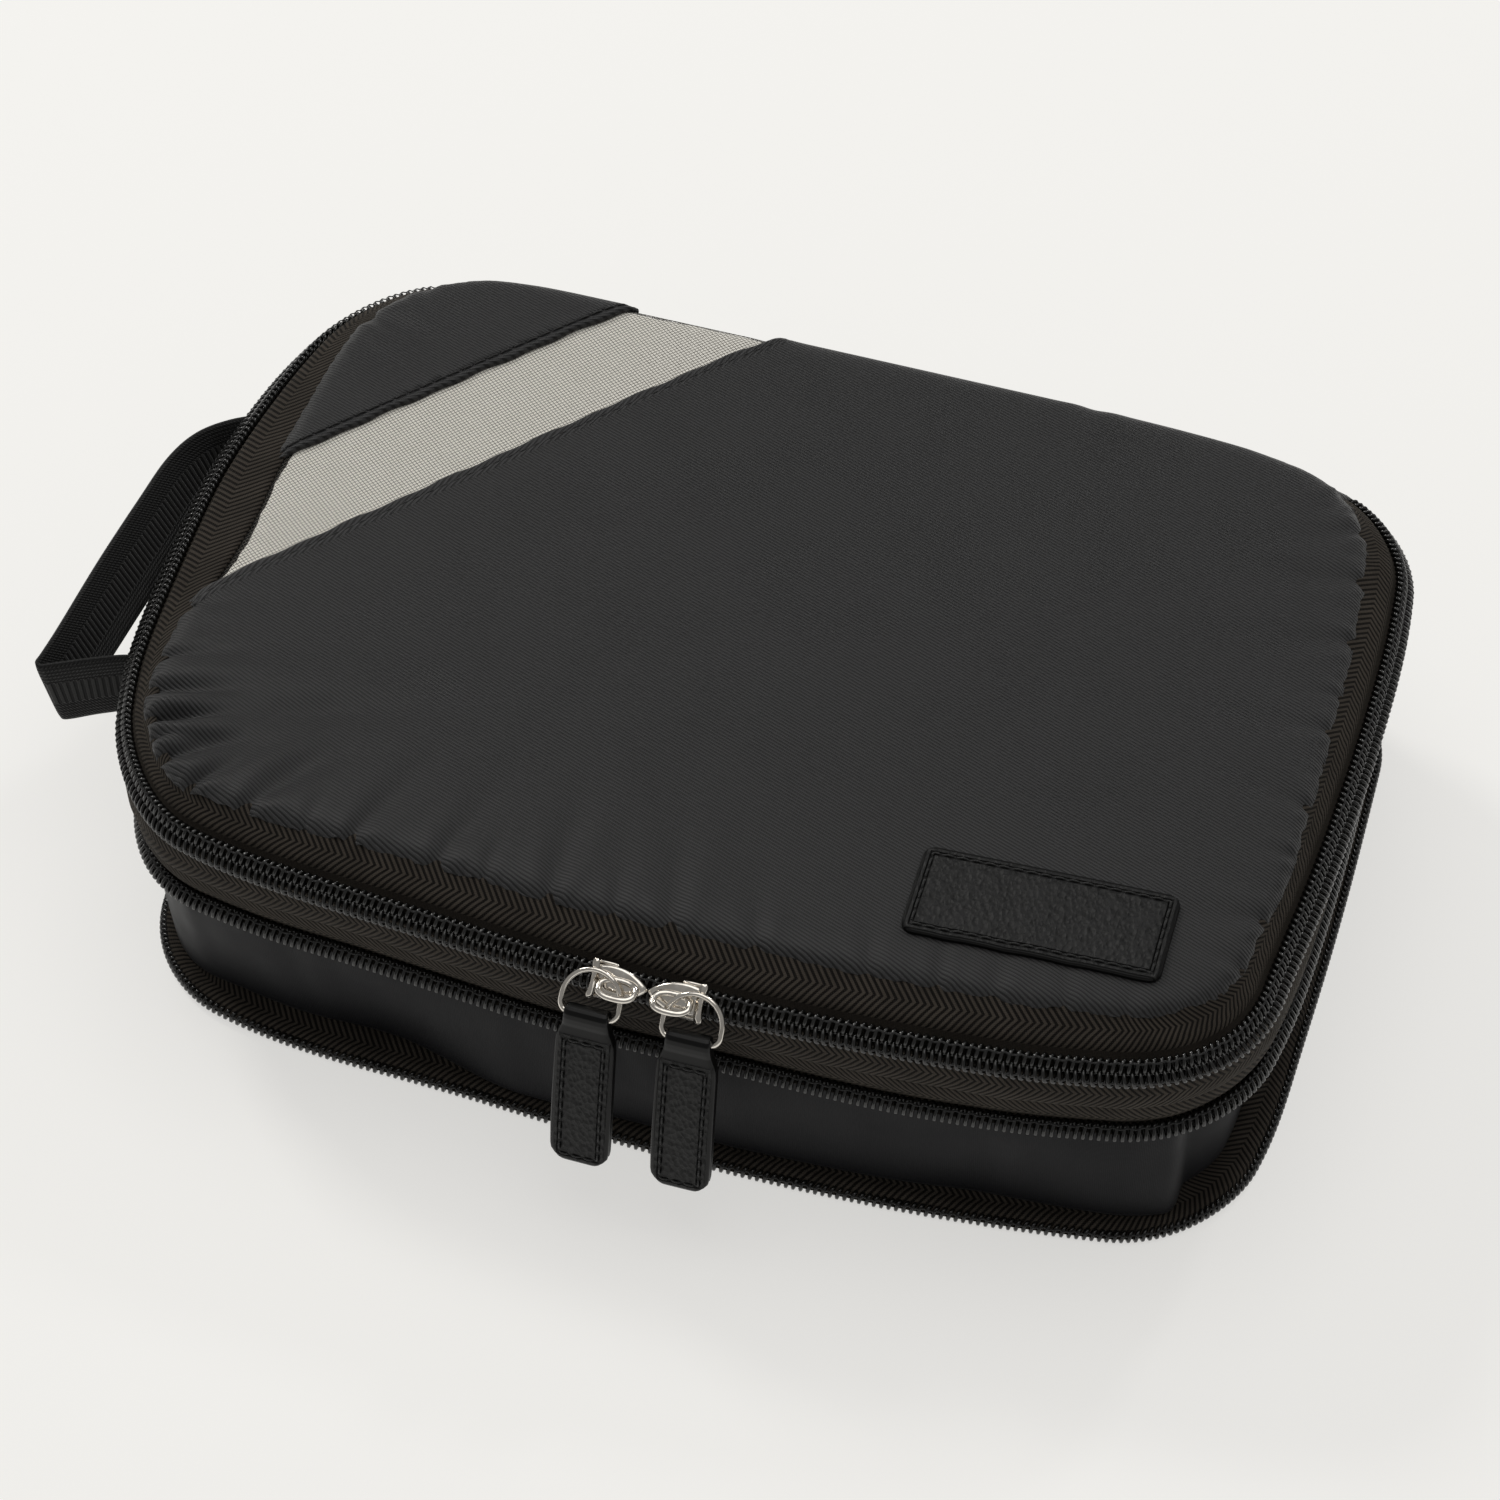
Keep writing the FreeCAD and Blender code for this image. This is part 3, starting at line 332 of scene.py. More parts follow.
def net_thread():
    """Dark yarn of the net."""
    m = Shade("mesh", (0.10, 0.092, 0.078), 0.7, Sheen_Weight=0.1)
    m.tint(m.noise(3.0), (0.08, 0.073, 0.062), (0.13, 0.12, 0.10))
    return m.material


MATERIALS = {
    "twill": twill(), "gusset_nylon": nylon(), "zip_tape": herringbone(),
    "zip_coil": coil_plastic(), "thread": thread(), "nickel": nickel(),
    "webbing": webbing(), "mesh": net_thread(),
    "binding": plain_weave("binding", (0.006, 0.006, 0.006), (0.022, 0.022, 0.021), 0.55),
    "pale_lining": plain_weave("pale_lining", (0.84, 0.81, 0.74), (0.95, 0.93, 0.86), 0.4),
    "label": leather("leather_label", LABEL_SIZE[0] / 2 - 1.9, LABEL_SIZE[1] / 2 - 1.9),
    "pull": leather("leather_pull", 4.1, 14.6, -20.6),
}


# --- meshes -----------------------------------------------------------------------------

def piece(name, points, faces, body, slot, nodes=(), weave=None, material=None):
    """A mesh in the row frame, from points in millimetres, riding on a body and standing
    for CAD nodes. weave is each point's place in the cloth, in millimetres."""
    mesh = bpy.data.meshes.new(name)
    points = np.asarray(points, float).reshape(-1, 3)
    mesh.from_pydata((points * MM).tolist(), [], faces)
    mesh.update()
    if weave is None:
        weave = points
    flat = np.zeros((len(points), 3))
    flat[:, :weave.shape[-1]] = np.asarray(weave, float).reshape(len(points), -1)
    place = mesh.attributes.new("weave", "FLOAT_VECTOR", "POINT")
    place.data.foreach_set("vector", flat.astype(np.float32).ravel())
    mesh.shade_smooth()
    mesh.materials.append(MATERIALS[material or slot])
    thing = bpy.data.objects.new(name, mesh)
    bpy.context.scene.collection.objects.link(thing)
    if body:
        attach(thing, body)
    if nodes:
        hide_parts(*nodes)
    return thing


def unit(vectors):
    """Vectors of length one."""
    return vectors / np.linalg.norm(vectors, axis=-1, keepdims=True)


def paired(first, second):
    """Two arrays that broadcast together, as the last axis of one."""
    return np.stack(np.broadcast_arrays(first, second), axis=-1)


def outward(thing):
    """Turns a closed mesh's faces to look outwards."""
    work = bmesh.new()
    work.from_mesh(thing.data)
    bmesh.ops.recalc_face_normals(work, faces=work.faces)
    work.to_mesh(thing.data)
    work.free()
    return thing


def thicken(thing, thickness):
    """Gives a sheet its cloth's thickness."""
    shell = thing.modifiers.new("thickness", "SOLIDIFY")
    shell.thickness = thickness * MM
    shell.offset = -1.0
    return thing


def grid_faces(rows, columns, closed=False, caps=False):
    """Quads of a grid of points. closed joins the last column to the first, and caps
    closes the two end rows."""
    last = columns if closed else columns - 1
    i, j = np.meshgrid(np.arange(rows - 1), np.arange(last), indexing="ij")
    k = (j + 1) % columns
    quads = np.stack([i * columns + j, (i + 1) * columns + j,
                      (i + 1) * columns + k, i * columns + k], axis=-1)
    faces = quads.reshape(-1, 4).tolist()
    if caps:
        faces.append(list(range(columns)))
        faces.append(list(range((rows - 1) * columns, rows * columns))[::-1])
    return faces


def smooth_step(value, low, high):
    """0 below low, 1 above high and smooth between."""
    t = np.clip((np.asarray(value, float) - low) / (high - low), 0, 1)
    return t * t * (3 - 2 * t)


# --- the outline ------------------------------------------------------------------------

def corner_centres():
    """Plan centres of the front and back corner arcs on the right-hand side."""
    front_y = FRONT_RADIUS - FRONT_REACH
    side_x = HALF_LENGTH - SIDE_RADIUS
    from_front, from_side = FRONT_RADIUS - CORNER_RADIUS, SIDE_RADIUS - CORNER_RADIUS
    span = math.hypot(side_x, front_y)
    along = (from_front ** 2 - from_side ** 2 + span ** 2) / (2 * span)
    across = math.sqrt(from_front ** 2 - along ** 2)
    ux, uy = side_x / span, -front_y / span
    front = (along * ux - across * uy, front_y + along * uy + across * ux)
    back_y = BACK_REACH - CORNER_RADIUS
    return front, (side_x + math.sqrt(from_side ** 2 - back_y ** 2), back_y)


def make_outline(step=0.4):
    """Close samples of half the outline and their mirror: distance, point and normal."""
    front, back = corner_centres()
    bow = (0.0, FRONT_RADIUS - FRONT_REACH)
    side = (HALF_LENGTH - SIDE_RADIUS, 0.0)
    heading = lambda a, b: math.atan2(b[1] - a[1], b[0] - a[0])
    stops = [-math.pi / 2, heading(bow, front), heading(side, front), heading(side, back),
             math.pi / 2]
    points, normals = [], []
    for centre, radius, start, end in (
            (bow, FRONT_RADIUS, stops[0], stops[1]), (front, CORNER_RADIUS, stops[1], stops[2]),
            (side, SIDE_RADIUS, stops[2], stops[3]), (back, CORNER_RADIUS, stops[3], stops[4])):
        count = max(8, int(radius * (end - start) / step))
        angle = np.linspace(start, end, count, endpoint=False)
        normal = np.stack([np.cos(angle), np.sin(angle)], axis=1)
        points.append(np.array(centre) + radius * normal)
        normals.append(normal)
    straight = np.linspace(back[0], 0, int(back[0] / step) + 1)
    points.append(np.stack([straight, np.full_like(straight, BACK_REACH)], axis=1))
    normals.append(np.tile([0.0, 1.0], (len(straight), 1)))
    points, normals = np.concatenate(points), np.concatenate(normals)
    flip = np.array([-1.0, 1.0])
    points = np.concatenate([points, (points * flip)[-2:0:-1]])
    normals = np.concatenate([normals, (normals * flip)[-2:0:-1]])
    steps = np.linalg.norm(np.roll(points, -1, axis=0) - points, axis=1)
    return np.concatenate([[0], np.cumsum(steps)[:-1]]), points, normals, steps.sum()


RIM_S, RIM_POINTS, RIM_NORMALS, RIM_LENGTH = make_outline()
ZIP_SPAN = RIM_LENGTH / 2 - ZIP_END


def rim(s):
    """Plan points and outward normals at distances along the outline."""
    at = lambda column: np.interp(s, RIM_S, column, period=RIM_LENGTH)
    point = np.stack([at(RIM_POINTS[:, 0]), at(RIM_POINTS[:, 1])], axis=-1)
    normal = np.stack([at(RIM_NORMALS[:, 0]), at(RIM_NORMALS[:, 1])], axis=-1)
    return point, unit(normal)


def smooth_ring(stations, spread=9.0):
    """A smooth closed curve of numbers round the outline, from rough (s, number) pairs."""
    at = np.arange(0, RIM_LENGTH, 1.0)
    s, number = np.array(sorted((s % RIM_LENGTH, number) for s, number in stations)).T
    rough = np.interp(at, s, number, period=RIM_LENGTH)
    reach = np.minimum(at, RIM_LENGTH - at)
    kernel = np.exp(-(reach / spread) ** 2)
    soft = np.fft.irfft(np.fft.rfft(rough) * np.fft.rfft(kernel / kernel.sum()), len(at))
    return lambda s: np.interp(s, at, soft, period=RIM_LENGTH)


# how far the soft case stands outside its drawn outline: rim, lower rim and foot
RIM_SWAY = smooth_ring([
    (-300, 1.0), (-280, 1.4), (-263, 1.7), (-248, 5.0), (-226, 6.8), (-208, 7.4), (-181, 5.4),
    (-165, 4.2), (-152, 3.2), (-143, 1.5), (-134, -1.6), (-124, -3.2), (-112, -3.0),
    (-100, -1.0), (-86, 0.0), (-45, -1.0), (-20, -0.2), (0, 0.0), (18, 0.2), (83, 0.6),
    (106, -1.4), (119, -0.8), (138, -2.1), (151, -1.8), (171, -1.1), (205, -0.6),
    (242, -0.5), (254, -1.2), (264, -2.3), (287, -3.0), (321, -1.0), (350, 0.0)])
MIDDLE_SWAY = smooth_ring([
    (-340, 0.0), (-300, 0.0), (-263, 0.0), (-248, 2.0), (-208, 3.0), (-165, 1.5), (-143, 0.0),
    (-124, -1.5), (-108, 0.0), (-82, 1.0), (-60, -0.3), (-34, 0.0), (-19, 0.8), (20, 0.5),
    (55, 2.0), (82, 1.8), (100, 0.0), (124, -0.4), (137, 0.8), (150, 2.0), (180, 1.5),
    (230, 0.0), (264, -1.0), (300, -1.0), (340, 0.0)])
FLOOR_SWAY = smooth_ring([
    (-240, 0.0), (-160, -1.0), (-129, -2.4), (-110, -1.8), (-100, -0.2), (-89, 1.0),
    (-74, 1.0), (-55, -0.5), (-40, -1.2), (-22, -1.0), (20, 0.0), (56, 0.4), (84, 0.2),
    (105, -0.4), (121, -1.0), (131, -0.3), (142, 1.4), (154, 1.6), (170, 0.9), (240, 0.0)])
# how far inside the rim the lid's cloth meets the tape
SEAM_INSET = smooth_ring([
    (-350, -0.5), (-310, -0.4), (-300, 0.8), (-287, 5.0), (-266, 7.5), (-245, 9.8),
    (-223, 12.0), (-205, 12.3), (-193, 12.6), (-177, 10.8), (-161, 7.9), (-133, 4.6),
    (-109, 4.4), (-90, 6.2), (-74, 7.2), (-20, 8.4), (19, 9.2), (70, 8.4), (115, 7.4),
    (140, 5.0), (162, 4.0), (190, 5.5), (213, 6.6), (255, 8.4), (272, 7.4), (292, 3.5),
    (310, 0.0), (330, -0.5)], 6.0)
SEAM_EDGE = smooth_ring([
    (-340, 61.4), (-305, 61.4), (-285, 63.9), (285, 63.9), (312, 61.4), (340, 61.4)], 8.0)
# how far the wall's foot stands inside the foot zip, and how steep the main zip lies
FOOT_INSET = smooth_ring([
    (-240, 5.0), (-180, 4.0), (-150, 4.0), (-128, 4.0), (-110, 5.0), (-97, 7.4), (-84, 8.0),
    (-70, 8.8), (-57, 9.0), (-45, 6.5), (-31, 3.2), (-18, 3.8), (-3, 4.9), (20, 5.2),
    (56, 5.8), (70, 6.8), (91, 5.5), (105, 5.0), (116, 3.4), (130, 3.0), (150, 3.4),
    (180, 4.0), (240, 5.0)], 5.0)
ZIP_LEAN = smooth_ring([
    (-285, 62), (-262, 56), (-240, 45), (-208, 43), (-165, 47), (-148, 54), (-128, 62),
    (-108, 60), (-90, 52), (-65, 45), (80, 45), (110, 50), (135, 50), (160, 47), (230, 49),
    (255, 58), (285, 62)])


def place(s, out, up):
    """Points in space from distances along, outside and above, on the soft case."""
    s, out, up = np.broadcast_arrays(s, out, up)
    point, normal = rim(s)
    low = smooth_step(up, 4.0, LOWER_RIM)
    high = smooth_step(up, LOWER_RIM + 3, RIM - 3)
    sway = FLOOR_SWAY(s) * (1 - low) + MIDDLE_SWAY(s) * (low - high) + RIM_SWAY(s) * high
    plan = point + normal * (out + sway)[..., None]
    return np.concatenate([plan, up[..., None]], axis=-1)


def slow_wave(s, seed, longest=90.0, count=9):
    """A smooth closed wave round the outline, about -1 to 1."""
    source = np.random.default_rng(seed)
    total = np.zeros_like(np.asarray(s, float))
    for k in range(1, count + 1):
        turns = max(1, round(RIM_LENGTH / longest * k))
        total = total + np.sin(FULL_TURN * turns * s / RIM_LENGTH
                               + source.uniform(0, FULL_TURN)) / k ** 0.8
    return total / 1.9


# --- strips and coils -------------------------------------------------------------------

def section(line, thickness, spacing=0.9):
    """A strip's cross-section from a line of (out, up) points: the loop round its two
    faces, and how far each point is along the line."""
    line = np.array(line, float)
    at = run_along(line)
    fine = np.linspace(0, at[-1], max(3, int(at[-1] / spacing)))
    face = np.stack([np.interp(fine, at, line[:, k]) for k in range(2)], axis=1)
    along = np.gradient(face, axis=0)
    side = unit(np.stack([-along[:, 1], along[:, 0]], axis=1))
    if side[len(side) // 2].sum() < 0:
        side = -side
    loop = np.concatenate([face + side * thickness, face[::-1]])
    return loop, np.concatenate([fine, fine[::-1]])


def moved_line(s, line, t, move):
    """A line of (out, up) points carried round the outline, with move's extra added."""
    out, up = line[:, 0] + 0 * s, line[:, 1] + 0 * s
    if move:
        extra_out, extra_up = move(s, t[None, :])
        out, up = out + extra_out, up + extra_up
    return place(s, out, up)


def strip(name, body, slot, nodes, line, thickness=0.6, span=None, move=None, step=1.5):
    """A cloth strip round the outline. move(s, t) gives extra (out, up), where t runs
    from 0 at the line's start to 1 at its end. The weave counts across from the end."""
    span = RIM_LENGTH / 2 if span is None else span
    s = np.linspace(-span, span, int(2 * span / step))[:, None]
    loop, across_at = section(line, thickness)
    t = across_at / across_at.max()
    points = moved_line(s, loop, t, move)
    width = across_at.max() - across_at
    weave = paired(s, width[None, :])
    faces = grid_faces(len(s), len(loop), closed=True, caps=True)
    return outward(piece(name, points, faces, body, slot, nodes, weave))


def strip_back(name, body, slot, nodes, s_half, profile, move=None):
    """A single sheet along the back, whose profile is a list of (out, up)."""
    s = np.linspace(RIM_LENGTH / 2 - s_half, RIM_LENGTH / 2 + s_half, int(s_half / 0.9))[:, None]
    profile = np.array(profile, float)
    at = run_along(profile)
    fine = np.linspace(0, at[-1], int(at[-1] / 0.8))
    line = np.stack([np.interp(fine, at, profile[:, k]) for k in range(2)], axis=1)
    points = moved_line(s, line, fine / at[-1], move)
    weave = paired(s, fine[None, :])
    return piece(name, points, grid_faces(len(s), len(fine)), body, slot, nodes, weave)


def sweep(path, side, other, half_side, half_other, sides, closed=False):
    """Points of an oval tube: half_side wide along side and half_other along other."""
    angle = np.arange(sides) * FULL_TURN / sides
    ring = (side[:, None, :] * (np.cos(angle)[None, :, None] * half_side)
            + other[:, None, :] * (np.sin(angle)[None, :, None] * half_other))
    points = path[:, None, :] + ring
    faces = grid_faces(len(path), sides, closed=True, caps=not closed)
    if closed:
        last = (len(path) - 1) * sides
        faces += [[last + j, j, (j + 1) % sides, last + (j + 1) % sides]
                  for j in range(sides)]
    return points.reshape(-1, 3), faces


def run_along(path):
    """The distance along a path at each of its points."""
    return np.concatenate([[0], np.cumsum(np.linalg.norm(np.diff(path, axis=0), axis=1))])


def tangents(path, closed=False):
    """Unit directions along a path."""
    if closed:
        step = np.roll(path, -1, axis=0) - np.roll(path, 1, axis=0)
    else:
        step = np.gradient(path, axis=0)
    return unit(step)


def coil(name, body, nodes, corner, lean, head, span=None, skip=0.0, width=COIL_WIDTH):
    """One side of a zip: a wire wound in turns, and the thread that sews it down.
    corner(s) is the zip's (out, up) corner and lean(s) its slope in degrees. skip is how
    far down the slope this side begins, and head is 1 if its teeth point down the slope."""
    span = RIM_LENGTH / 2 if span is None else span
    turns = round(2 * span / COIL_PITCH)
    angle = np.linspace(0, turns * FULL_TURN, turns * 14 + 1)
    advance = angle - 0.75 * np.sin(angle)
    s = -span + 2 * span * advance / angle[-1] + COIL_PITCH * (1 - head) / 4
    swing, lift = head * np.cos(angle), -np.sin(angle)
    along = skip + width / 2 + head * 0.3 + swing * (width / 2 - COIL_WIRE + 0.4)
    inside = COIL_DEPTH / 2 + lift * (COIL_DEPTH / 2 - COIL_WIRE)
    path, across, away = slope_points(s, corner, lean, along, inside)
    radial = across * swing[:, None] + away * lift[:, None]
    direction = tangents(path)
    side = unit(np.cross(direction, radial))
    points, faces = sweep(path, side, np.cross(side, direction), COIL_WIRE, COIL_WIRE, 6)
    piece(name, points, faces, body, "zip_coil", nodes)
    d = np.linspace(-span, span, turns * 8 + 1)
    beat = (d + span) / COIL_PITCH * FULL_TURN
    along = skip + width * (0.5 - 0.14 * head) + 0.15 * np.sin(beat / 2)
    path, across, away = slope_points(d, corner, lean, along, 0.3 - 0.16 * np.cos(beat))
    points, faces = sweep(path, across, away, 0.22, 0.14, 5)
    piece(f"thread_{name}", points, faces, body, "thread")


def slope_points(s, corner, lean, along, inside):
    """Points down a sloping zip, and its directions across and inwards, at each s."""
    tilt = np.radians(lean(s))
    cosine, sine = np.cos(tilt), np.sin(tilt)
    out, up = corner(s)
    out = out + along * cosine - inside * sine
    up = up - along * sine - inside * cosine
    _, normal = rim(s)
    across = np.concatenate([normal * cosine[:, None], -sine[:, None]], axis=1)
    away = np.concatenate([-normal * sine[:, None], -cosine[:, None]], axis=1)
    return place(s, out, up), across, away


def join(parts):
    """Several (points, faces) as one."""
    points, faces, start = [], [], 0
    for some, quads in parts:
        points.append(some)
        faces += [[start + i for i in face] for face in quads]
        start += len(some)
    return np.concatenate(points), faces


def tuck(s):
    """How far the main zip's ends turn in under the cloth of the back corners."""
    return 7.5 * smooth_step(np.abs(s), ZIP_SPAN - 1, ZIP_SPAN + ZIP_TUCK)


def main_zip():
    """The main zip's two coils and the tapes they are sewn to."""
    corner = lambda s: (-tuck(s), RIM - 0.2 * tuck(s))
    span = ZIP_SPAN + ZIP_TUCK
    coil("coil_main_upper", "lid", ["main_coil_upper"], corner, ZIP_LEAN, 1, span)
    coil("coil_main_lower", "upper", ["main_coil_lower"], corner, ZIP_LEAN, -1, span,
         COIL_WIDTH + COIL_GAP)

    def to_seam(s, t):
        reach = smooth_step(t, 0.35, 1.0)
        wave = 0.2 * slow_wave(s, 3, 60.0)
        out = reach * (8.0 - SEAM_INSET(s)) - tuck(s)
        return out, reach * (wave + SEAM_EDGE(s) - 63.9) - 0.2 * tuck(s)

    def hang(s, t):
        return 0.25 * slow_wave(s, 5, 60.0) * t - tuck(s), 0.0

    tape = strip("tape_main_upper", "lid", "zip_tape", ["main_tape_upper"],
                 [(0.1, 57.0), (-1.95, 59.1), (-2.7, 60.2), (-2.8, 61.4), (-8.9, SEAM_HEIGHT),
                  (-10.2, SEAM_HEIGHT + 0.2)],
                 span=span, move=to_seam)
    band = strip("tape_main_lower", "upper", "zip_tape", ["main_tape_lower"],
                 [(0.6, 56.6), (0.9, 54.6), (0.9, 52.4), (0.5, 49.6), (-0.6, 46.8)],
                 span=span, move=hang)


def compression_zip():
    """The compression zip's two coils and tapes, all the way round."""
    coil("coil_compression_upper", "upper", ["compression_coil_upper"],
         lambda s: (-2.0, LOWER_RIM), lambda s: 48.0 + 0.0 * s, 1, width=3.5)
    coil("coil_compression_lower", "base", ["compression_coil_lower"],
         lambda s: (-1.0, 3.5), lambda s: 72.0 + 0.0 * s, 1, width=2.3)
    upper = strip("tape_compression_upper", "upper", "zip_tape", ["compression_tape_upper"],
                  [(-2.2, 35.7), (-3.9, 37.5), (-3.5, 39.2), (-2.3, 41.2), (-1.4, 43.8),
                   (-0.9, 46.9)])
    lower = strip("tape_compression_lower", "base", "zip_tape", ["compression_tape_lower"],
                  [(-1.9, 0.9), (-2.9, 3.1), (-5.0, 3.2), (-7.6, 4.0), (-10.2, 4.4)],
                  move=lambda s, t: (0.0, (0.3 + 0.3 * slow_wave(s, 8, 50.0))
                                     * np.sin(np.pi * t)))


def wall():
    """The expanding nylon wall, softly creased, built at its full height."""
    creases = noise_source.uniform(0, 1, (46, 5))

    def folds(s, t):
        bulge = 0.9 * np.sin(np.pi * t) + 0.55 * slow_wave(s, 11, 75.0) * np.sin(np.pi * t)
        for where, lean, width, depth, level in creases:
            middle = (where - 0.5) * RIM_LENGTH + (lean - 0.5) * 60 * (t - 0.5)
            span = 2.0 + 9.0 * width
            reach = np.exp(-((t - level) / 0.35) ** 2)
            bulge = bulge + (depth - 0.35) * 0.9 * np.exp(-((s - middle) / span) ** 2) * reach
        foot = (5.0 - FOOT_INSET(s)) * (1 - smooth_step(t, 0.0, 0.75))
        sunk = smooth_step(s, 112, 122) - smooth_step(s, 185, 235)
        return bulge + foot - 5.5 * sunk * (1 - smooth_step(t, 0.5, 1.0)), 0.0

    thing = strip("wall_nylon", "base", "gusset_nylon", ["gusset_wall"],
                  [(-5.2, WALL_FOOT), (-4.9, 38.0), (-4.5, 45.5)], 0.4, move=folds, step=1.2)
    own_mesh(thing)


def seams():
    """The bindings sewn over the raw edges inside."""
    follow = lambda s, t: (12.0 - SEAM_INSET(s) + 0.0 * t, SEAM_EDGE(s) - 63.9 + 0.0 * t)
    for name, body, node, line, width, move, cover in (
            ("binding_base", "base", "base_seam_binding", [(-9.4, 1.05), (-9.4, 6.6)], 5.5,
             None, "tape_compression_lower"),
            ("binding_rim", "upper", "rim_seam_binding", [(-5.2, 45.9), (-1.9, 45.9)], 3.3,
             None, "tape_main_lower"),
            ("binding_lid", "lid", "lid_seam_binding", [(-13.4, 61.3), (-13.4, 64.6)], 3.3,
             follow, "tape_main_upper")):
        thing = strip(name, body, "binding", [node], line, move=move, step=2.0)


# --- lid --------------------------------------------------------------------------------

# folds that run in from the lid's seam: middle s, half width, depth, reach, lean
FOLDS = [
    # left side
    (-262, 3.4, 0.4, 14, 0.1), (-213, 2.6, 0.2, 6, 0.2), (-189, 2.2, 0.3, 7, 0.4),
    (-176, 1.8, 0.25, 5, 0.3), (-164, 2.4, 0.4, 10, 0.4),
    # front left corner
    (-149, 2.0, 0.6, 12, 0.3), (-140, 2.6, 1.0, 26, 0.15), (-130, 2.2, 1.3, 31, 0.0),
    (-123, 1.5, 0.5, 9, -0.3), (-115, 2.8, 1.1, 27, -0.25), (-102, 2.0, 0.7, 18, -0.4),
    # front
    (-88, 2.8, 0.7, 24, -0.45), (-74, 1.8, 0.3, 8, 0.0), (-64, 2.6, 0.6, 22, -0.25),
    (-45, 2.8, 0.55, 18, -0.2), (-34, 1.8, 0.3, 8, 0.1), (-20, 2.8, 0.6, 20, 0.1),
    (-6, 2.0, 0.35, 10, 0.2), (6, 2.8, 0.5, 20, 0.25), (24, 2.4, 0.3, 10, 0.3),
    (47, 2.4, 0.3, 9, 0.2), (61, 2.0, 0.3, 10, 0.1), (72, 2.6, 0.35, 10, 0.0),
    (86, 2.2, 0.3, 9, 0.1), (99, 2.6, 0.2, 7, 0.0),
    # right side
    (116, 2.4, 0.25, 7, 0.1), (136, 2.4, 0.3, 8, 0.0), (150, 3.0, 0.4, 12, 0.3),
    (168, 2.2, 0.3, 7, 0.2), (181, 3.0, 0.35, 10, -0.2), (203, 2.6, 0.35, 11, 0.1),
    (213, 1.8, 0.25, 6, 0.1), (229, 3.0, 0.4, 13, 0.3), (247, 3.0, 0.4, 15, 0.2),
    # back
    (266, 2.6, 0.35, 12, 0.0), (283, 3.0, 0.3, 10, 0.2), (345, 4.0, 0.2, 8, 0.0),
    (-362, 4.0, 0.2, 8, 0.0), (-281, 3.0, 0.3, 10, 0.2),
]


def fold_lines():
    """Start, direction inwards and shape of every fold, in plan."""
    lines = []
    for middle, width, deep, reach, lean in FOLDS:
        point, normal = rim(np.array([float(middle)]))
        start = point[0] + normal[0] * float(RIM_SWAY(middle) - SEAM_INSET(middle))
        inward = Vector((-normal[0][0], -normal[0][1])).normalized()
        turn = Matrix.Rotation(lean, 2)
        lines.append((start, np.array(turn @ inward), width, deep, reach))
    return lines


FOLD_LINES = fold_lines()


LID_LINE = place(RIM_S, 0.0, RIM)[:, :2]
LID_NORMALS = np.roll(LID_LINE, -1, axis=0) - np.roll(LID_LINE, 1, axis=0)
LID_NORMALS = unit(np.stack([LID_NORMALS[:, 1], -LID_NORMALS[:, 0]], axis=1))


def lid_depth(plan):
    """How far plan points lie inside the lid's seam, and the nearest s."""
    samples, normals, along = LID_LINE[::2], LID_NORMALS[::2], RIM_S[::2]
    depths, places = np.zeros(len(plan)), np.zeros(len(plan))
    for i in range(0, len(plan), 2000):
        part = plan[i:i + 2000]
        gap = part[:, None, :] - samples[None]
        nearest = (gap ** 2).sum(axis=2).argmin(axis=1)
        at = np.arange(len(part))
        depths[i:i + 2000] = -(gap[at, nearest] * normals[nearest]).sum(axis=1)
        places[i:i + 2000] = along[nearest]
    return depths - SEAM_INSET(places), places


def lid_folds(plan, depth, s):
    """The change in height that the folds and the gathers along the seam make."""
    change = np.zeros(len(plan))
    for start, inward, width, deep, reach in FOLD_LINES:
        gap = plan - start
        along = np.maximum(gap @ inward, 0)
        off = np.abs(gap @ np.array([-inward[1], inward[0]]))
        spread = width * (0.5 + 0.5 * along / (along + 6.0) + 0.02 * along)
        fade = np.exp(-(along / reach) ** 1.6)
        valley = -np.exp(-(off / spread) ** 2)
        shoulder = 0.4 * np.exp(-((off - 1.8 * spread) / spread) ** 2)
        change += 1.7 * deep * fade * (valley + shoulder)
    ruffle = 0.16 * np.sin(FULL_TURN * s / 4.3 + 3 * np.sin(s / 17)) * np.exp(-depth / 1.5)
    ruffle = ruffle * (s * (RIM_LENGTH - s) < BACK_CORNER * (RIM_LENGTH - BACK_CORNER))
    x, y = plan.T
    swell = 0.3 * np.sin(x / 31 + y / 47 + 1) + 0.25 * np.sin(x / 19 - y / 23)
    return change + ruffle + swell * (1 - np.exp(-depth / 18))


def on_lid(plan, lift=0.0, folds=1.0):
    """Points on the lid's surface above plan points."""
    plan = np.asarray(plan, float)
    depth, s = lid_depth(plan)
    depth = np.maximum(depth, 0.0)
    x, y = plan.T
    edge = SEAM_EDGE(s)
    roll = 1 - np.exp(-depth / 1.4)
    crown = 0.9 * np.clip(1 - (x / 120) ** 4, 0, 1) * np.clip(1 - (y / 88) ** 4, 0, 1)
    up = edge + (LID_HEIGHT - edge) * roll + crown + folds * lid_folds(plan, depth, s) + lift
    return np.concatenate([plan, up[:, None]], axis=1)


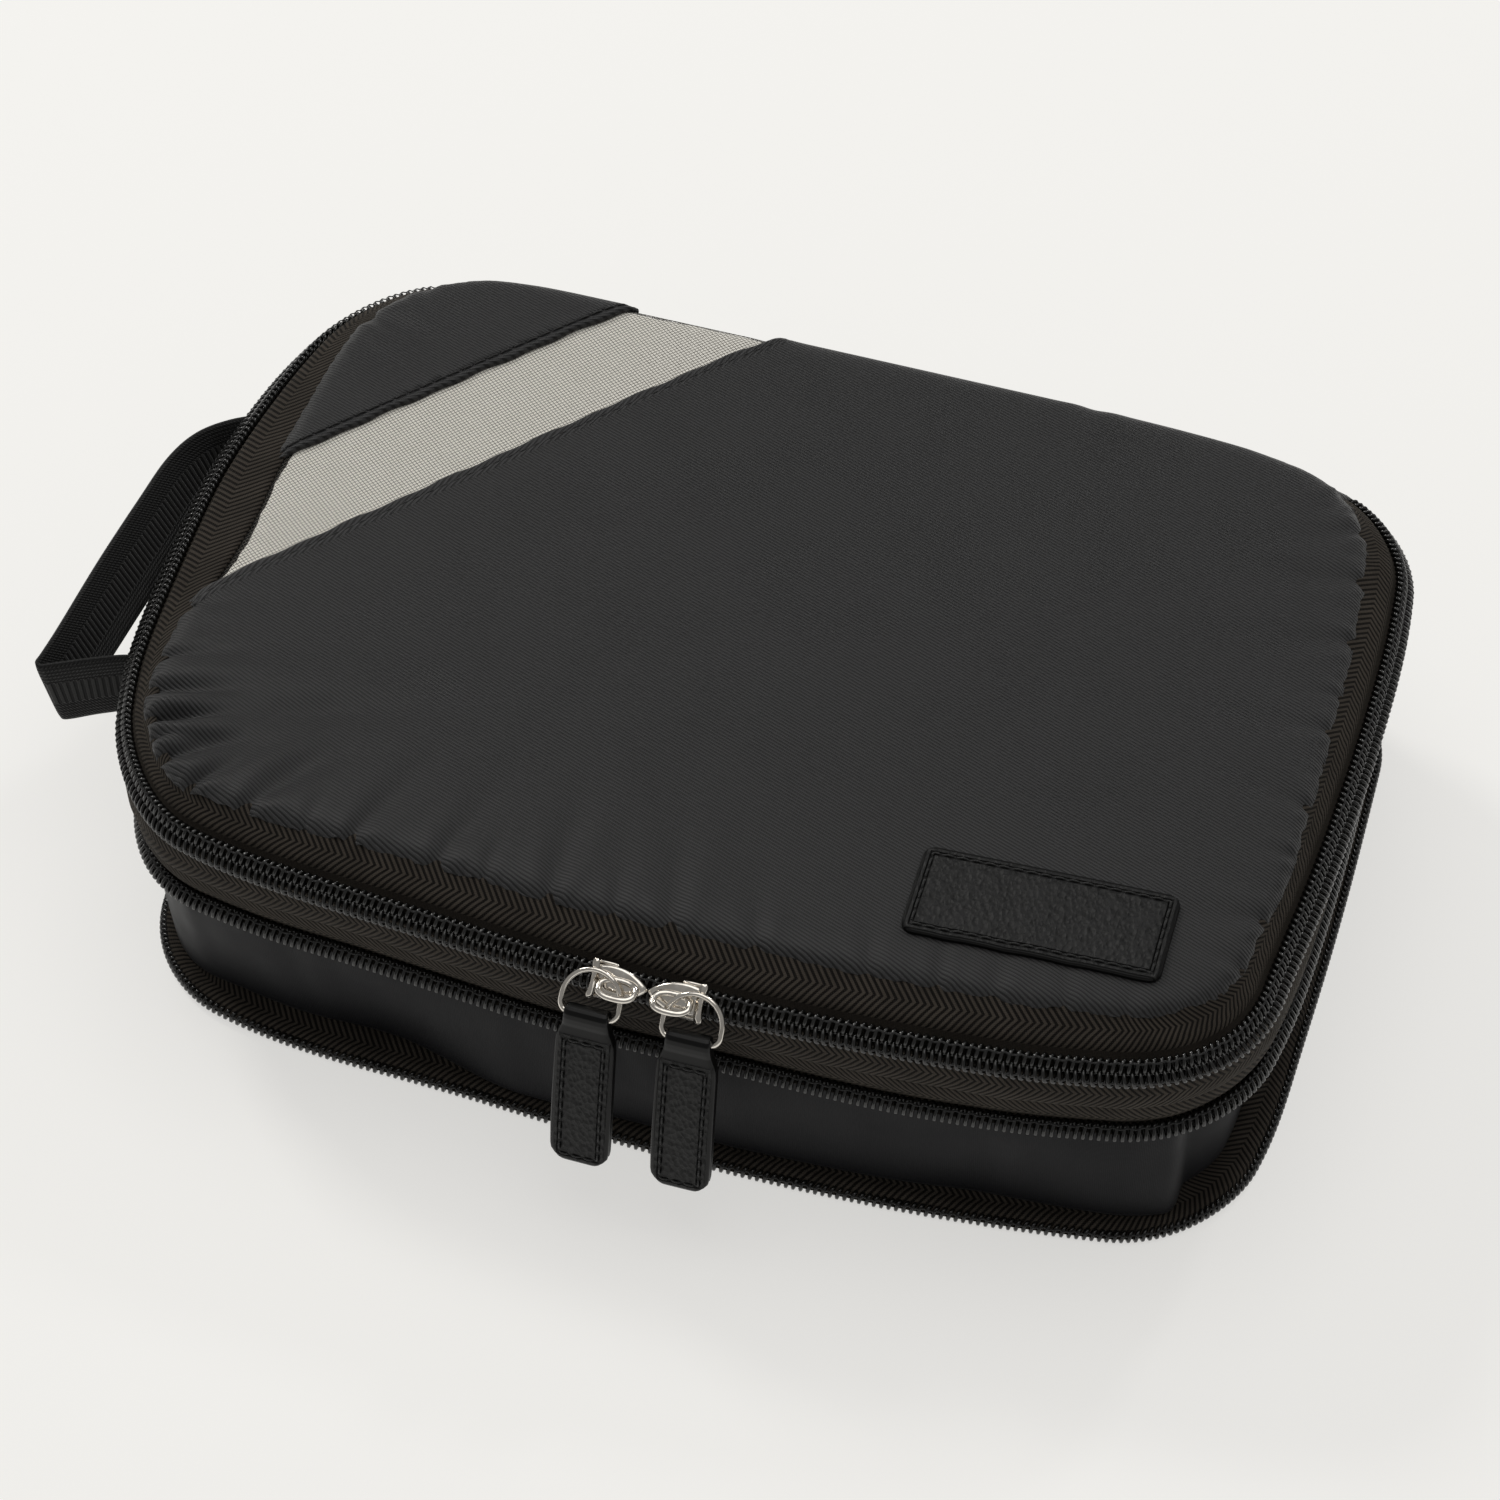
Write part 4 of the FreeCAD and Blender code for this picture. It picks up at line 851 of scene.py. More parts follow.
def lid_grid(shrink=0.0, lift=0.0, folds=1.0, columns=900):
    """A sheet over the lid, in rings from the seam to the middle. shrink moves its edge
    further inside the seam."""
    s = np.linspace(0, RIM_LENGTH, columns, endpoint=False)
    gathers = 0.42 * slow_wave(s, 31, 30.0, 9)
    edge = place(s, gathers - SEAM_INSET(s) - shrink, RIM)[:, :2]
    middle = np.array([0.0, -2.0])
    near = np.concatenate([np.arange(0, 3, 0.3), np.arange(3, 14, 0.8), np.arange(14, 44, 1.5)])
    share = np.concatenate([near / 90.0, np.linspace(0.50, 0.93, 22)])
    plan = edge[None] + (middle - edge)[None] * share[:, None, None]
    points = on_lid(np.concatenate([plan.reshape(-1, 2), middle[None]]), lift, folds)
    rows, centre = len(share), len(points) - 1
    faces = grid_faces(rows, columns, closed=True)
    last = (rows - 1) * columns
    faces += [[last + j, centre, last + (j + 1) % columns] for j in range(columns)]
    return points, faces


def band_axes():
    """Directions along and across the mesh window's band."""
    turn = math.radians(MESH_ANGLE)
    return np.array([math.cos(turn), math.sin(turn)]), np.array([-math.sin(turn), math.cos(turn)])


def cut_piece(name, source, low, high, slot, nodes, thickness):
    """The part of a sheet between two distances across the mesh window's band."""
    points, faces = source
    work = bmesh.new()
    verts = [work.verts.new(p) for p in points]
    for face in faces:
        work.faces.new([verts[i] for i in face])
    _, across = band_axes()
    for bound, sign in ((low, -1), (high, 1)):
        if bound is None:
            continue
        spot = np.array(MESH_MIDDLE) + across * bound
        bmesh.ops.bisect_plane(work, geom=work.verts[:] + work.edges[:] + work.faces[:],
                               plane_co=(*spot, 0), plane_no=(*(across * sign), 0),
                               clear_outer=True)
    work.verts.index_update()
    kept = np.array([v.co for v in work.verts])
    loops = [[v.index for v in f.verts] for f in work.faces]
    work.free()
    return thicken(piece(name, kept, loops, "lid", slot, nodes, kept[:, :2]), thickness)


def lid_panels():
    """The lid's two twill panels, which end in folded hems at the mesh window."""
    shell = lid_grid()
    main = cut_piece("cloth_lid_main", shell, None, -MESH_HALF - 1.8, "twill",
                     ["lid_main_panel"], 0.5)
    corner = cut_piece("cloth_lid_corner", shell, MESH_HALF + 1.8, None, "twill",
                       ["lid_corner_panel"], 0.5)


def band_point(along, across_at):
    """Plan point from distances along and across the mesh window's band."""
    ahead, across = band_axes()
    return (np.array(MESH_MIDDLE) + np.multiply.outer(along, ahead)
            + np.multiply.outer(across_at, across))


def net():
    """The mesh window: a net of square holes."""
    pitch, hole = 0.78, 0.87
    along = np.arange(-110, 110, pitch)
    across = np.arange(-MESH_HALF - 1.5, MESH_HALF + 1.5, pitch)
    a, b = np.meshgrid(along, across, indexing="ij")
    a, b = a.ravel(), b.ravel()
    kept = lid_depth(band_point(a, b))[0] > 0.3
    a, b = a[kept], b[kept]
    half, inner = pitch / 2, pitch / 2 * hole
    corner = [(-1, -1), (1, -1), (1, 1), (-1, 1)]
    spots = [(a + i * half, b + j * half) for i, j in corner]
    spots += [(a + i * inner, b + j * inner) for i, j in corner]
    flat_a = np.stack([p[0] for p in spots], axis=1).ravel()
    flat_b = np.stack([p[1] for p in spots], axis=1).ravel()
    points = on_lid(band_point(flat_a, flat_b), -1.1, 0.3)
    first = np.arange(len(a))[:, None] * 8
    quads = np.concatenate([first + np.array([i, (i + 1) % 4, 4 + (i + 1) % 4, 4 + i])
                            for i in range(4)])
    weave = np.stack([flat_a, flat_b], axis=1)
    thing = piece("net_window", points, quads.tolist(), "lid", "mesh", ["mesh_window"], weave)
    thicken(thing, 0.1)


def lining():
    """The pale cloth behind the net, and a dark sheet under it that shows as dark strips round its
    ends.
    """
    for name, slot, nodes, shrink, drop, reach, flat, area in (
            ("cloth_lining", "pale_lining", ["mesh_lining"], 3.2, 1.4, MESH_HALF + 2,
             (0.143, 0.031), 0.0034),
            ("cloth_window_backing", "binding", [], 0.4, 2.3, MESH_HALF + 5,
             (0.158, 0.038), 0.0045)):
        source = lid_grid(shrink, -drop, 0.3, columns=420)
        thing = cut_piece(name, source, -reach, reach, slot, nodes, 0.25)


def hems():
    """The folded hems on both sides of the mesh window, with a row of stitches each."""
    for name, node, side in (("hem_lid_main", "hem_main", -1), ("hem_lid_corner", "hem_corner", 1)):
        ends = hem_reach(side)
        a = np.linspace(*ends, int((ends[1] - ends[0]) / 0.8))
        wobble = 0.18 * np.sin(a / 1.9) + 0.14 * np.sin(a / 3.7 + 1.0)
        profile = [(0.1, -1.1), (-0.1, -0.5), (0.05, 0.1), (0.4, 0.4), (0.9, 0.45),
                   (1.4, 0.28), (1.8, 0.2), (2.3, 0.3), (2.9, 0.25), (3.3, 0.05), (3.4, -0.4)]
        rows = []
        for offset, lift in profile:
            b = side * (MESH_HALF + offset - 0.2) + wobble * (1.0 if offset < 1 else 0.35)
            rows.append(on_lid(band_point(a, b), lift, 0.7))
        points = np.stack(rows, axis=1)
        weave = paired(a[:, None], np.array([p[0] for p in profile]))
        thing = piece(name, points, grid_faces(len(a), len(profile)), "lid", "twill", [node],
                      weave)
        thicken(thing, 0.35)
        line = on_lid(band_point(a, side * (MESH_HALF + 1.6)), 0.48, 0.7)
        stitches(f"stitches_{name}", line, UPWARD, "lid", 2.6, 0.7, 0.2)


def hem_reach(side):
    """Where a hem meets the lid's seam at its two ends."""
    a = np.linspace(-110, 110, 441)
    kept = a[lid_depth(band_point(a, side * (MESH_HALF + 1.5)))[0] > 0.1]
    return kept.min(), kept.max()


def stitches(name, path, up, body, length, gap, radius, nodes=(), closed=False):
    """A row of short threads that rise out of a surface and dip back into it."""
    if closed:
        path = np.concatenate([path, path[:1]])
    at = run_along(path)
    count = max(1, int(at[-1] / (length + gap)))
    pitch = at[-1] / count
    all_points, all_faces, all_weave = [], [], []
    for i in range(count):
        d = i * pitch + gap / 2 + np.linspace(0, pitch - gap, 6)
        rise = radius * (1.5 * np.sin(np.linspace(0, np.pi, 6)) ** 0.6 - 0.9)
        normal = np.tile(up, (len(d), 1))
        line = np.stack([np.interp(d, at, path[:, k]) for k in range(3)], axis=1)
        line = line + normal * rise[:, None]
        along = tangents(line)
        side = unit(np.cross(along, normal))
        points, faces = sweep(line, side, np.cross(side, along), radius, radius, 6)
        start = len(all_points) * 36
        all_faces += [[start + k for k in face] for face in faces]
        all_points.append(points)
        all_weave.append(np.repeat(d, 6))
    points = np.concatenate(all_points)
    weave = np.stack([np.concatenate(all_weave), 0 * points[:, 0]], axis=1)
    return piece(name, points, all_faces, body, "thread", nodes, weave)


# --- label ------------------------------------------------------------------------------

def round_points(start, end, count):
    """Points of a unit circle between two angles in degrees."""
    angle = np.radians(np.linspace(start, end, count))
    return np.stack([np.cos(angle), np.sin(angle)], axis=1)


def rounded_loop(half_x, half_y, radius, straight_x=24, straight_y=10, corner=8):
    """Points round a rectangle with round corners, the same count whatever its size."""
    radius = max(radius, 0.02)
    points = []
    for i, (sx, sy) in enumerate(((1, -1), (1, 1), (-1, 1), (-1, -1))):
        middle = np.array([sx * (half_x - radius), sy * (half_y - radius)])
        arc = middle + radius * round_points(90 * (i - 1), 90 * i, corner)
        points.append(arc)
        sides = straight_y if i % 2 == 0 else straight_x
        turn = ((1, 1), (-1, 1), (-1, -1), (1, -1))[i]
        target = np.array([turn[0] * (half_x - radius), turn[1] * (half_y - radius)])
        end_angle = math.radians(90 * i)
        start = target + radius * np.array([math.cos(end_angle), math.sin(end_angle)])
        t = np.linspace(0, 1, sides + 2)[1:-1, None]
        points.append(arc[-1] + (start - arc[-1]) * t)
    return np.concatenate(points)


def label():
    """The blank leather label: a slab with a rounded, painted edge and a sewn border."""
    half_x, half_y = LABEL_SIZE[0] / 2, LABEL_SIZE[1] / 2
    loops = [(0.5, -0.1), (0.12, 0.1), (0.0, 0.5), (0.0, 1.05), (0.1, 1.35), (0.35, 1.55),
             (0.8, 1.62), (1.4, 1.6), (1.9, 1.5), (2.4, 1.6), (3.2, 1.66), (5.0, 1.68),
             (7.5, 1.7), (10.3, 1.7)]
    turn = math.radians(LABEL_ANGLE)
    spin = np.array([[math.cos(turn), math.sin(turn)], [-math.sin(turn), math.cos(turn)]])
    rows, flats = [], []
    for inset, lift in loops:
        flat = rounded_loop(half_x - inset, half_y - inset, 2.6 - inset)
        plan = flat @ spin + np.array(LABEL_MIDDLE)
        rows.append(on_lid(plan, lift + 0.15))
        flats.append(flat)
    count = len(flats[0])
    faces = grid_faces(len(rows), count, closed=True)
    faces.append([(len(rows) - 1) * count + j for j in range(count)])
    points, weave = np.concatenate(rows), np.concatenate(flats)
    thing = piece("label_leather", points, faces, "lid", "leather", ["label_patch"], weave,
                  "label")
    outward(thing)
    line = rounded_loop(half_x - 1.9, half_y - 1.9, 0.5)
    sewn = on_lid(line @ spin + np.array(LABEL_MIDDLE), 1.72)
    stitches("stitches_label", sewn, UPWARD, "lid", 2.1, 0.7, 0.24, ["label_stitching"],
             closed=True)


# --- sliders and pulls ------------------------------------------------------------------

def along_front(x, out, up):
    """A point a given distance out from the front rim, and the rim's heading there."""
    angle = math.asin(x / FRONT_RADIUS)
    reach = FRONT_RADIUS + out
    y = FRONT_RADIUS - FRONT_REACH - reach * math.cos(angle)
    return np.array([reach * math.sin(angle), y, up]), angle


def turned(yaw, tilt):
    """Leaned back about X, then turned about the vertical."""
    return np.array(Matrix.Rotation(yaw, 3, "Z") @ Matrix.Rotation(math.radians(tilt), 3, "X"))


def plate_points(outline, levels):
    """Rings of a plate: the outline scaled about the origin at each (scale, height)."""
    rows = [np.concatenate([outline * scale, np.full((len(outline), 1), height)], axis=1)
            for scale, height in levels]
    return np.concatenate(rows), grid_faces(len(rows), len(outline), closed=True, caps=True)


def smooth_loop(corners, count=72, order=3):
    """A closed curve through a polygon, rounded by cutting its corners."""
    points = np.array(corners, float)
    for _ in range(order):
        after = np.roll(points, -1, axis=0)
        points = np.stack([0.75 * points + 0.25 * after, 0.25 * points + 0.75 * after],
                          axis=1).reshape(-1, 2)
    loop = np.concatenate([points, points[:1]])
    at = run_along(loop)
    d = np.linspace(0, at[-1], count, endpoint=False)
    return np.stack([np.interp(d, at, loop[:, k]) for k in range(2)], axis=1)


def hoop():
    """A main slider's bridge: an oval loop, low beside the plate's middle and standing out
    over its lower edge, with the ring threaded through it."""
    angle = np.linspace(0, FULL_TURN, 48, endpoint=False)
    cosine, sine = np.cos(angle), np.sin(angle)
    reach = 0.6 + 3.7 * np.sign(cosine) * np.abs(cosine) ** 0.8
    rise = np.sign(sine) * np.abs(sine) ** 0.8
    path = np.stack([reach, 1.7 * rise - 1.0, 2.95 - 1.6 * rise], axis=1)
    facing = np.tile(np.array([0.0, 1.6, 1.7]) / math.hypot(1.6, 1.7), (len(path), 1))
    return sweep(path, facing, np.cross(tangents(path, True), facing), 0.6, 0.72, 12, True)


def arch():
    """The compression slider's bridge: a plain arch along the plate."""
    t = np.linspace(0, 1, 25)
    rise = PLATE_LIFT + PLATE - 0.2 + 3.4 * np.sin(np.pi * t) ** 0.6
    path = np.stack([3.5 * np.cos(np.pi * t), 0 * t, rise], axis=1)
    side = np.tile([0.0, 1.0, 0.0], (len(t), 1))
    return sweep(path, side, np.cross(tangents(path), side), 1.5, 0.5, 14)


def slider_parts(nose, flange_side, bridge):
    """A slider in its own frame: leaf-shaped plate, bridge, horned tail and side flanges."""
    leaf = smooth_loop([(-4.9, -2.4), (-4.4, -2.9), (-1.4, -3.3), (1.6, -3.0), (4.4, -1.7),
                        (6.2, -0.3), (6.2, 0.3), (4.4, 1.7), (1.6, 3.0), (-1.4, 3.3),
                        (-4.4, 2.9), (-4.9, 2.4)])
    low, high = PLATE_LIFT, PLATE_LIFT + PLATE
    plate = plate_points(leaf, [(0.92, low), (1.0, low + 0.25), (1.0, high - 0.45),
                                (0.94, high - 0.12), (0.84, high), (0.5, high + 0.15)])
    horns = smooth_loop([(-5.9, -3.9), (-4.3, -4.1), (-4.0, -2.0), (-4.1, 2.0), (-4.3, 4.1),
                         (-5.9, 3.9), (-5.3, 1.6), (-5.3, -1.6)], 64, 2)
    tail = plate_points(horns, [(0.97, low), (1.0, low + 0.2), (1.0, high + 0.35),
                                (0.96, high + 0.55)])
    flange = smooth_loop([(-5.0, -0.35), (-0.4, -0.35), (-0.4, 0.35), (-5.0, 0.35)], 32)
    lip = plate_points(flange, [(0.8, -1.1), (1.0, -0.9), (1.0, low + 0.3), (0.8, low + 0.5)])
    lips = []
    for edge in (-3.4, 3.4):
        points = lip[0] + (0.0, edge, 0.0)
        if edge * flange_side < 0:
            points[:, 2] = np.maximum(points[:, 2], 0.35)
        lips.append((points, lip[1]))
    points, faces = join([plate, tail, bridge, *lips])
    return points * (nose, 1, 1), faces


def metal(name, points, faces, turn, spot, body, node):
    """A nickel piece, turned and put in place."""
    outward(piece(name, points @ turn.T + spot, faces, body, "nickel", [node], points))


def main_slider(side, nose):
    """One main zip slider with its inner plate, ring, leather pull and stitching."""
    out = SLIDER_REACH * SLANT
    up = RIM - SLIDER_REACH * SLANT
    spot, yaw = along_front(SLIDER_X[side], out, up)
    lean = turned(yaw, 45)
    points, faces = slider_parts(nose, 1, hoop())
    metal(f"slider_{side}", points, faces, lean, spot, f"{side}_slider", f"{side}_slider_body")
    inner = smooth_loop([(-4.5, 0.2), (4.5, 0.2), (4.5, 3.2), (-4.5, 3.2)], 40)
    base = -(COIL_DEPTH + PLATE_LIFT + PLATE)
    middle = np.array([0.0, 1.7])
    points, faces = plate_points(inner - middle, [(0.9, base), (1.0, base + 0.2),
                                                  (1.0, base + 0.8), (0.9, base + 1.0)])
    points[:, 1] += middle[1]
    metal(f"slider_{side}_inner", points, faces, lean, spot, f"{side}_slider",
          f"{side}_slider_inner_plate")

    shoulder = RING_RADIUS * math.sin(math.radians(45))
    drop = shoulder + RING_LEG
    tilt = math.radians(RING_TILT)
    rise = PLATE_LIFT + PLATE + BRIDGE_RISE
    hang_out, hang_up = out + rise * SLANT, up + rise * SLANT
    bar, _ = along_front(SLIDER_X[side], hang_out + drop * math.sin(tilt),
                         hang_up - drop * math.cos(tilt))
    bar = bar + np.array([math.cos(yaw), math.sin(yaw), 0.0]) * (-nose * shoulder)
    ring(side, bar, turned(yaw, -RING_TILT))
    pull(side, bar, turned(yaw, -TAB_TILT))


def ring(side, bar, lean):
    """The round wire ring that carries a pull: straight where the leather hangs."""
    flat = RING_RADIUS - RING_CORNER
    arc = lambda x, z, radius, a, b, n: (x, z) + radius * round_points(a, b, n)
    line = np.concatenate([
        np.stack([np.linspace(-flat, flat, 12)[:-1], np.zeros(11)], axis=1),
        arc(flat, RING_CORNER, RING_CORNER, 270, 360, 9),
        arc(0, RING_LEG, RING_RADIUS, 0, 180, 41),
        arc(-flat, RING_CORNER, RING_CORNER, 180, 270, 9)[:-1]])
    path = np.stack([line[:, 0], 0 * line[:, 0], line[:, 1]], axis=1)
    other = np.tile([0.0, 1.0, 0.0], (len(path), 1))
    normal = np.cross(tangents(path, True), other)
    points, faces = sweep(path, normal, other, RING_WIRE, RING_WIRE, 14, closed=True)
    metal(f"ring_{side}", points, faces, lean, bar, f"{side}_ring", f"{side}_pull_ring")


def pull(side, bar, lean):
    """A leather pull: a strip folded round the ring, glued and sewn, with painted edges."""
    stations = np.array([
        (1.95, 3.6, 0.35), (1.85, 4.2, 0.8), (1.4, 4.6, 1.45), (0.6, 4.7, 1.85),
        (-0.4, 4.75, 1.92), (-1.6, 4.85, 1.7), (-2.6, 5.0, 1.42), (-4.0, 5.5, 1.4),
        (-5.6, 6.05, 1.48), (-7.5, 6.2, 1.5), (-15.0, 6.25, 1.5), (-22.0, 6.3, 1.5),
        (-29.0, 6.3, 1.5), (-33.4, 6.2, 1.5), (-34.6, 6.0, 1.5), (-35.6, 5.3, 1.48),
        (-36.4, 4.5, 1.42), (-36.85, 3.9, 1.2), (-37.0, 3.4, 0.8)])
    at = np.linspace(0, len(stations) - 1, 110)
    index = np.arange(len(stations))
    down, wide, thick = (np.interp(at, index, stations[:, k]) for k in range(3))
    angle = np.linspace(0, FULL_TURN, 56, endpoint=False)
    cosine, sine = np.cos(angle), np.sin(angle)
    shape_x = np.sign(cosine) * np.abs(cosine) ** 0.22
    shape_y = np.sign(sine) * np.abs(sine) ** 0.42
    groove = 1 - 0.045 * np.exp(-(shape_y / 0.16) ** 2)
    x = np.outer(wide, shape_x * groove)
    y = np.outer(thick, shape_y)
    z = np.broadcast_to(down[:, None], x.shape)
    channel = np.maximum(np.abs(x) - 4.1, np.abs(z + 20.6) - 14.6)
    y = y - np.sign(y) * 0.16 * np.exp(-(channel / 0.35) ** 2)
    belly = 0.25 * np.sin(np.clip((-z - 8) / 28, 0, 1) * np.pi)
    y = y - belly
    points = np.stack([x, y, z], axis=-1).reshape(-1, 3)
    weave = np.stack([x, z, y], axis=-1)
    faces = grid_faces(len(at), len(angle), closed=True, caps=True)
    outward(piece(f"pull_{side}", points @ lean.T + bar, faces, f"{side}_pull", "leather",
                  [f"{side}_pull_tab"], weave, "pull"))
    line = rounded_loop(4.1, 14.6, 0.6, 8, 14)
    front = -1.5 - 0.25 * np.sin(np.clip((20.6 - line[:, 1] - 8) / 28, 0, 1) * np.pi) + 0.08
    sewn = np.stack([line[:, 0], front, line[:, 1] - 20.6], axis=1)
    stitches(f"stitches_pull_{side}", sewn @ lean.T + bar, lean @ (0.0, -1.0, 0.0),
             f"{side}_pull", 1.9, 0.7, 0.22, [f"{side}_pull_stitching"], closed=True)


def compression_slider():
    """The compression zip's slider, parked on the back edge, with a flat metal pull."""
    stand = np.array(Matrix.Rotation(math.pi, 3, "Z") @ Matrix.Rotation(math.pi / 2, 3, "X"))
    points, faces = slider_parts(1, -1, arch())
    metal("slider_compression", points, faces, stand, PARK, "compression_slider",
          "compression_slider_body")
    level = PLATE_LIFT + PLATE + BRIDGE_RISE
    outer = [(rounded_loop(13.3 - inset, 3.4 - inset, 1.6 - inset, 40, 10) + (12.7, 0.0), height)
             for inset, height in ((0.25, -0.55), (0.0, -0.3), (0.0, 0.3), (0.25, 0.55))]
    inner = [(rounded_loop(2.2 + grow, 1.4 + grow, 0.6, 40, 10) + (2.8, 0.0), height)
             for grow, height in ((0.2, 0.55), (0.0, 0.3), (0.0, -0.3), (0.2, -0.55))]
    rows = [np.concatenate([loop, np.full((len(loop), 1), level + height)], axis=1)
            for loop, height in outer + inner]
    rows.append(rows[0])
    points = np.concatenate(rows)
    faces = grid_faces(len(rows), len(rows[0]), closed=True)
    metal("pull_compression", points, faces, stand, PARK, "compression_puller",
          "compression_pull")


# --- handle -----------------------------------------------------------------------------

# stations along the strap: its upper edge, then its lower edge
STRAP = [
    ((-123.0, -37.6, 54.2), (-123.0, -38.4, 46.6)),
    ((-126.5, -39.4, 56.4), (-126.5, -39.6, 43.6)),
    ((-130.5, -41.6, 57.8), (-130.0, -41.8, 42.0)),
    ((-137.5, -45.4, 58.2), (-136.5, -45.8, 42.2)),
    ((-143.4, -48.6, 58.2), (-140.6, -48.6, 42.4)),
    ((-145.6, -49.6, 58.2), (-142.2, -49.4, 42.6)),
    ((-146.6, -48.8, 58.2), (-142.6, -48.6, 42.8)),
    ((-146.5, -46.0, 58.1), (-141.6, -46.0, 43.0)),
    ((-146.3, -38.0, 58.0), (-139.6, -38.0, 43.6)),
    ((-146.1, -17.0, 58.0), (-138.4, -17.0, 44.0)),
    ((-145.3, 2.0, 58.0), (-137.6, 2.0, 44.0)),
    ((-144.4, 16.0, 58.0), (-137.0, 15.5, 44.0)),
    ((-141.6, 25.0, 58.0), (-135.6, 24.0, 43.4)),
    ((-136.4, 31.2, 57.8), (-132.4, 30.2, 42.6)),
    ((-130.2, 35.8, 57.0), (-128.6, 35.0, 42.8)),
    ((-126.2, 38.0, 55.6), (-126.0, 37.4, 44.4)),
    ((-123.0, 39.4, 54.0), (-123.0, 39.0, 46.6)),
]


def curve_through(stations, count):
    """A smooth curve through stations, evenly spread over them."""
    stations = np.asarray(stations, float)
    padded = np.concatenate([stations[:1] * 2 - stations[1:2], stations,
                             stations[-1:] * 2 - stations[-2:-1]])
    at = np.linspace(0, len(stations) - 1 - 1e-9, count)
    i = at.astype(int)
    t = (at - i)[:, None]
    p0, p1, p2, p3 = (padded[i + k] for k in range(4))
    return 0.5 * (2 * p1 + (p2 - p0) * t + (2 * p0 - 5 * p1 + 4 * p2 - p3) * t ** 2
                  + (3 * p1 - p0 - 3 * p2 + p3) * t ** 3)


def handle():
    """The webbing handle: one strap that stands on edge, sewn into the seam at both ends."""
    upper = curve_through([a for a, b in STRAP], 260)
    lower = curve_through([b for a, b in STRAP], 260)
    across = np.linspace(0, 1, 15)
    middle = upper[:, None] + (lower - upper)[:, None] * across[None, :, None]
    along = np.gradient(middle, axis=0)
    width = np.gradient(middle, axis=1)
    normal = unit(np.cross(along, width))
    thin = 0.62 * (1 - 0.5 * np.abs(across - 0.5) ** 6 * 64)[None, :, None]
    loop = np.concatenate([middle + normal * thin, (middle - normal * thin)[:, ::-1]], axis=1)
    run = run_along(middle[:, 7])
    side = np.concatenate([across, across[::-1]]) * 16 - 8
    weave = paired(run[:, None], side[None, :])
    faces = grid_faces(len(run), loop.shape[1], closed=True, caps=True)
    strap = outward(piece("strap_webbing", loop, faces, None, "webbing",
                          ["handle_strap", "handle_anchor_front", "handle_anchor_back"], weave))
    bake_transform(strap)


# --- back and base ----------------------------------------------------------------------

def back_fabric():
    """The cloth along the back edge, which is the lid's hinge. It rides on no body, so it keeps its
    closed shape.
    """
    profile = [(-0.6, LOWER_RIM + 7.0), (0.1, 50.0), (0.3, 55.0), (-0.1, 59.0), (-0.7, 60.6),
               (-2.2, 61.6), (-5.0, 62.4), (-9.0, 62.9)]

    def ripples(s, t):
        ripple = 0.4 * slow_wave(s, 41, 45.0, 8)
        return ripple * np.sin(np.pi * t), 0.0

    thing = strip_back("cloth_back_hinge", None, "twill", ["back_panel", "lid_hinge_strip"],
                       ZIP_END - 0.4, profile, ripples)
    thicken(thing, 0.5)
    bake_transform(thing)


def base():
    """The base panel, a firm laid cloth that the case rests on."""
    s = np.linspace(0, RIM_LENGTH, 500, endpoint=False)
    edge = place(s, -8.6 + 0.0 * s, 0.0 * s)
    rows = [edge * (1, 1, 0) + (0, 0, 0.35)]
    for share in np.linspace(0, 0.98, 30):
        ring = edge * (1 - share)
        ring[:, 2] = 1.0 - 0.25 * (share < 0.01)
        rows.append(ring)
    under = [row * (1, 1, 0) for row in rows[1:]]
    rows = under[::-1] + rows
    faces = grid_faces(len(rows), len(s), closed=True, caps=True)
    points = np.concatenate(rows)
    thing = outward(piece("cloth_base", points, faces, "base", "twill", ["base_panel"],
                          points[:, :2]))


# --- stage ------------------------------------------------------------------------------

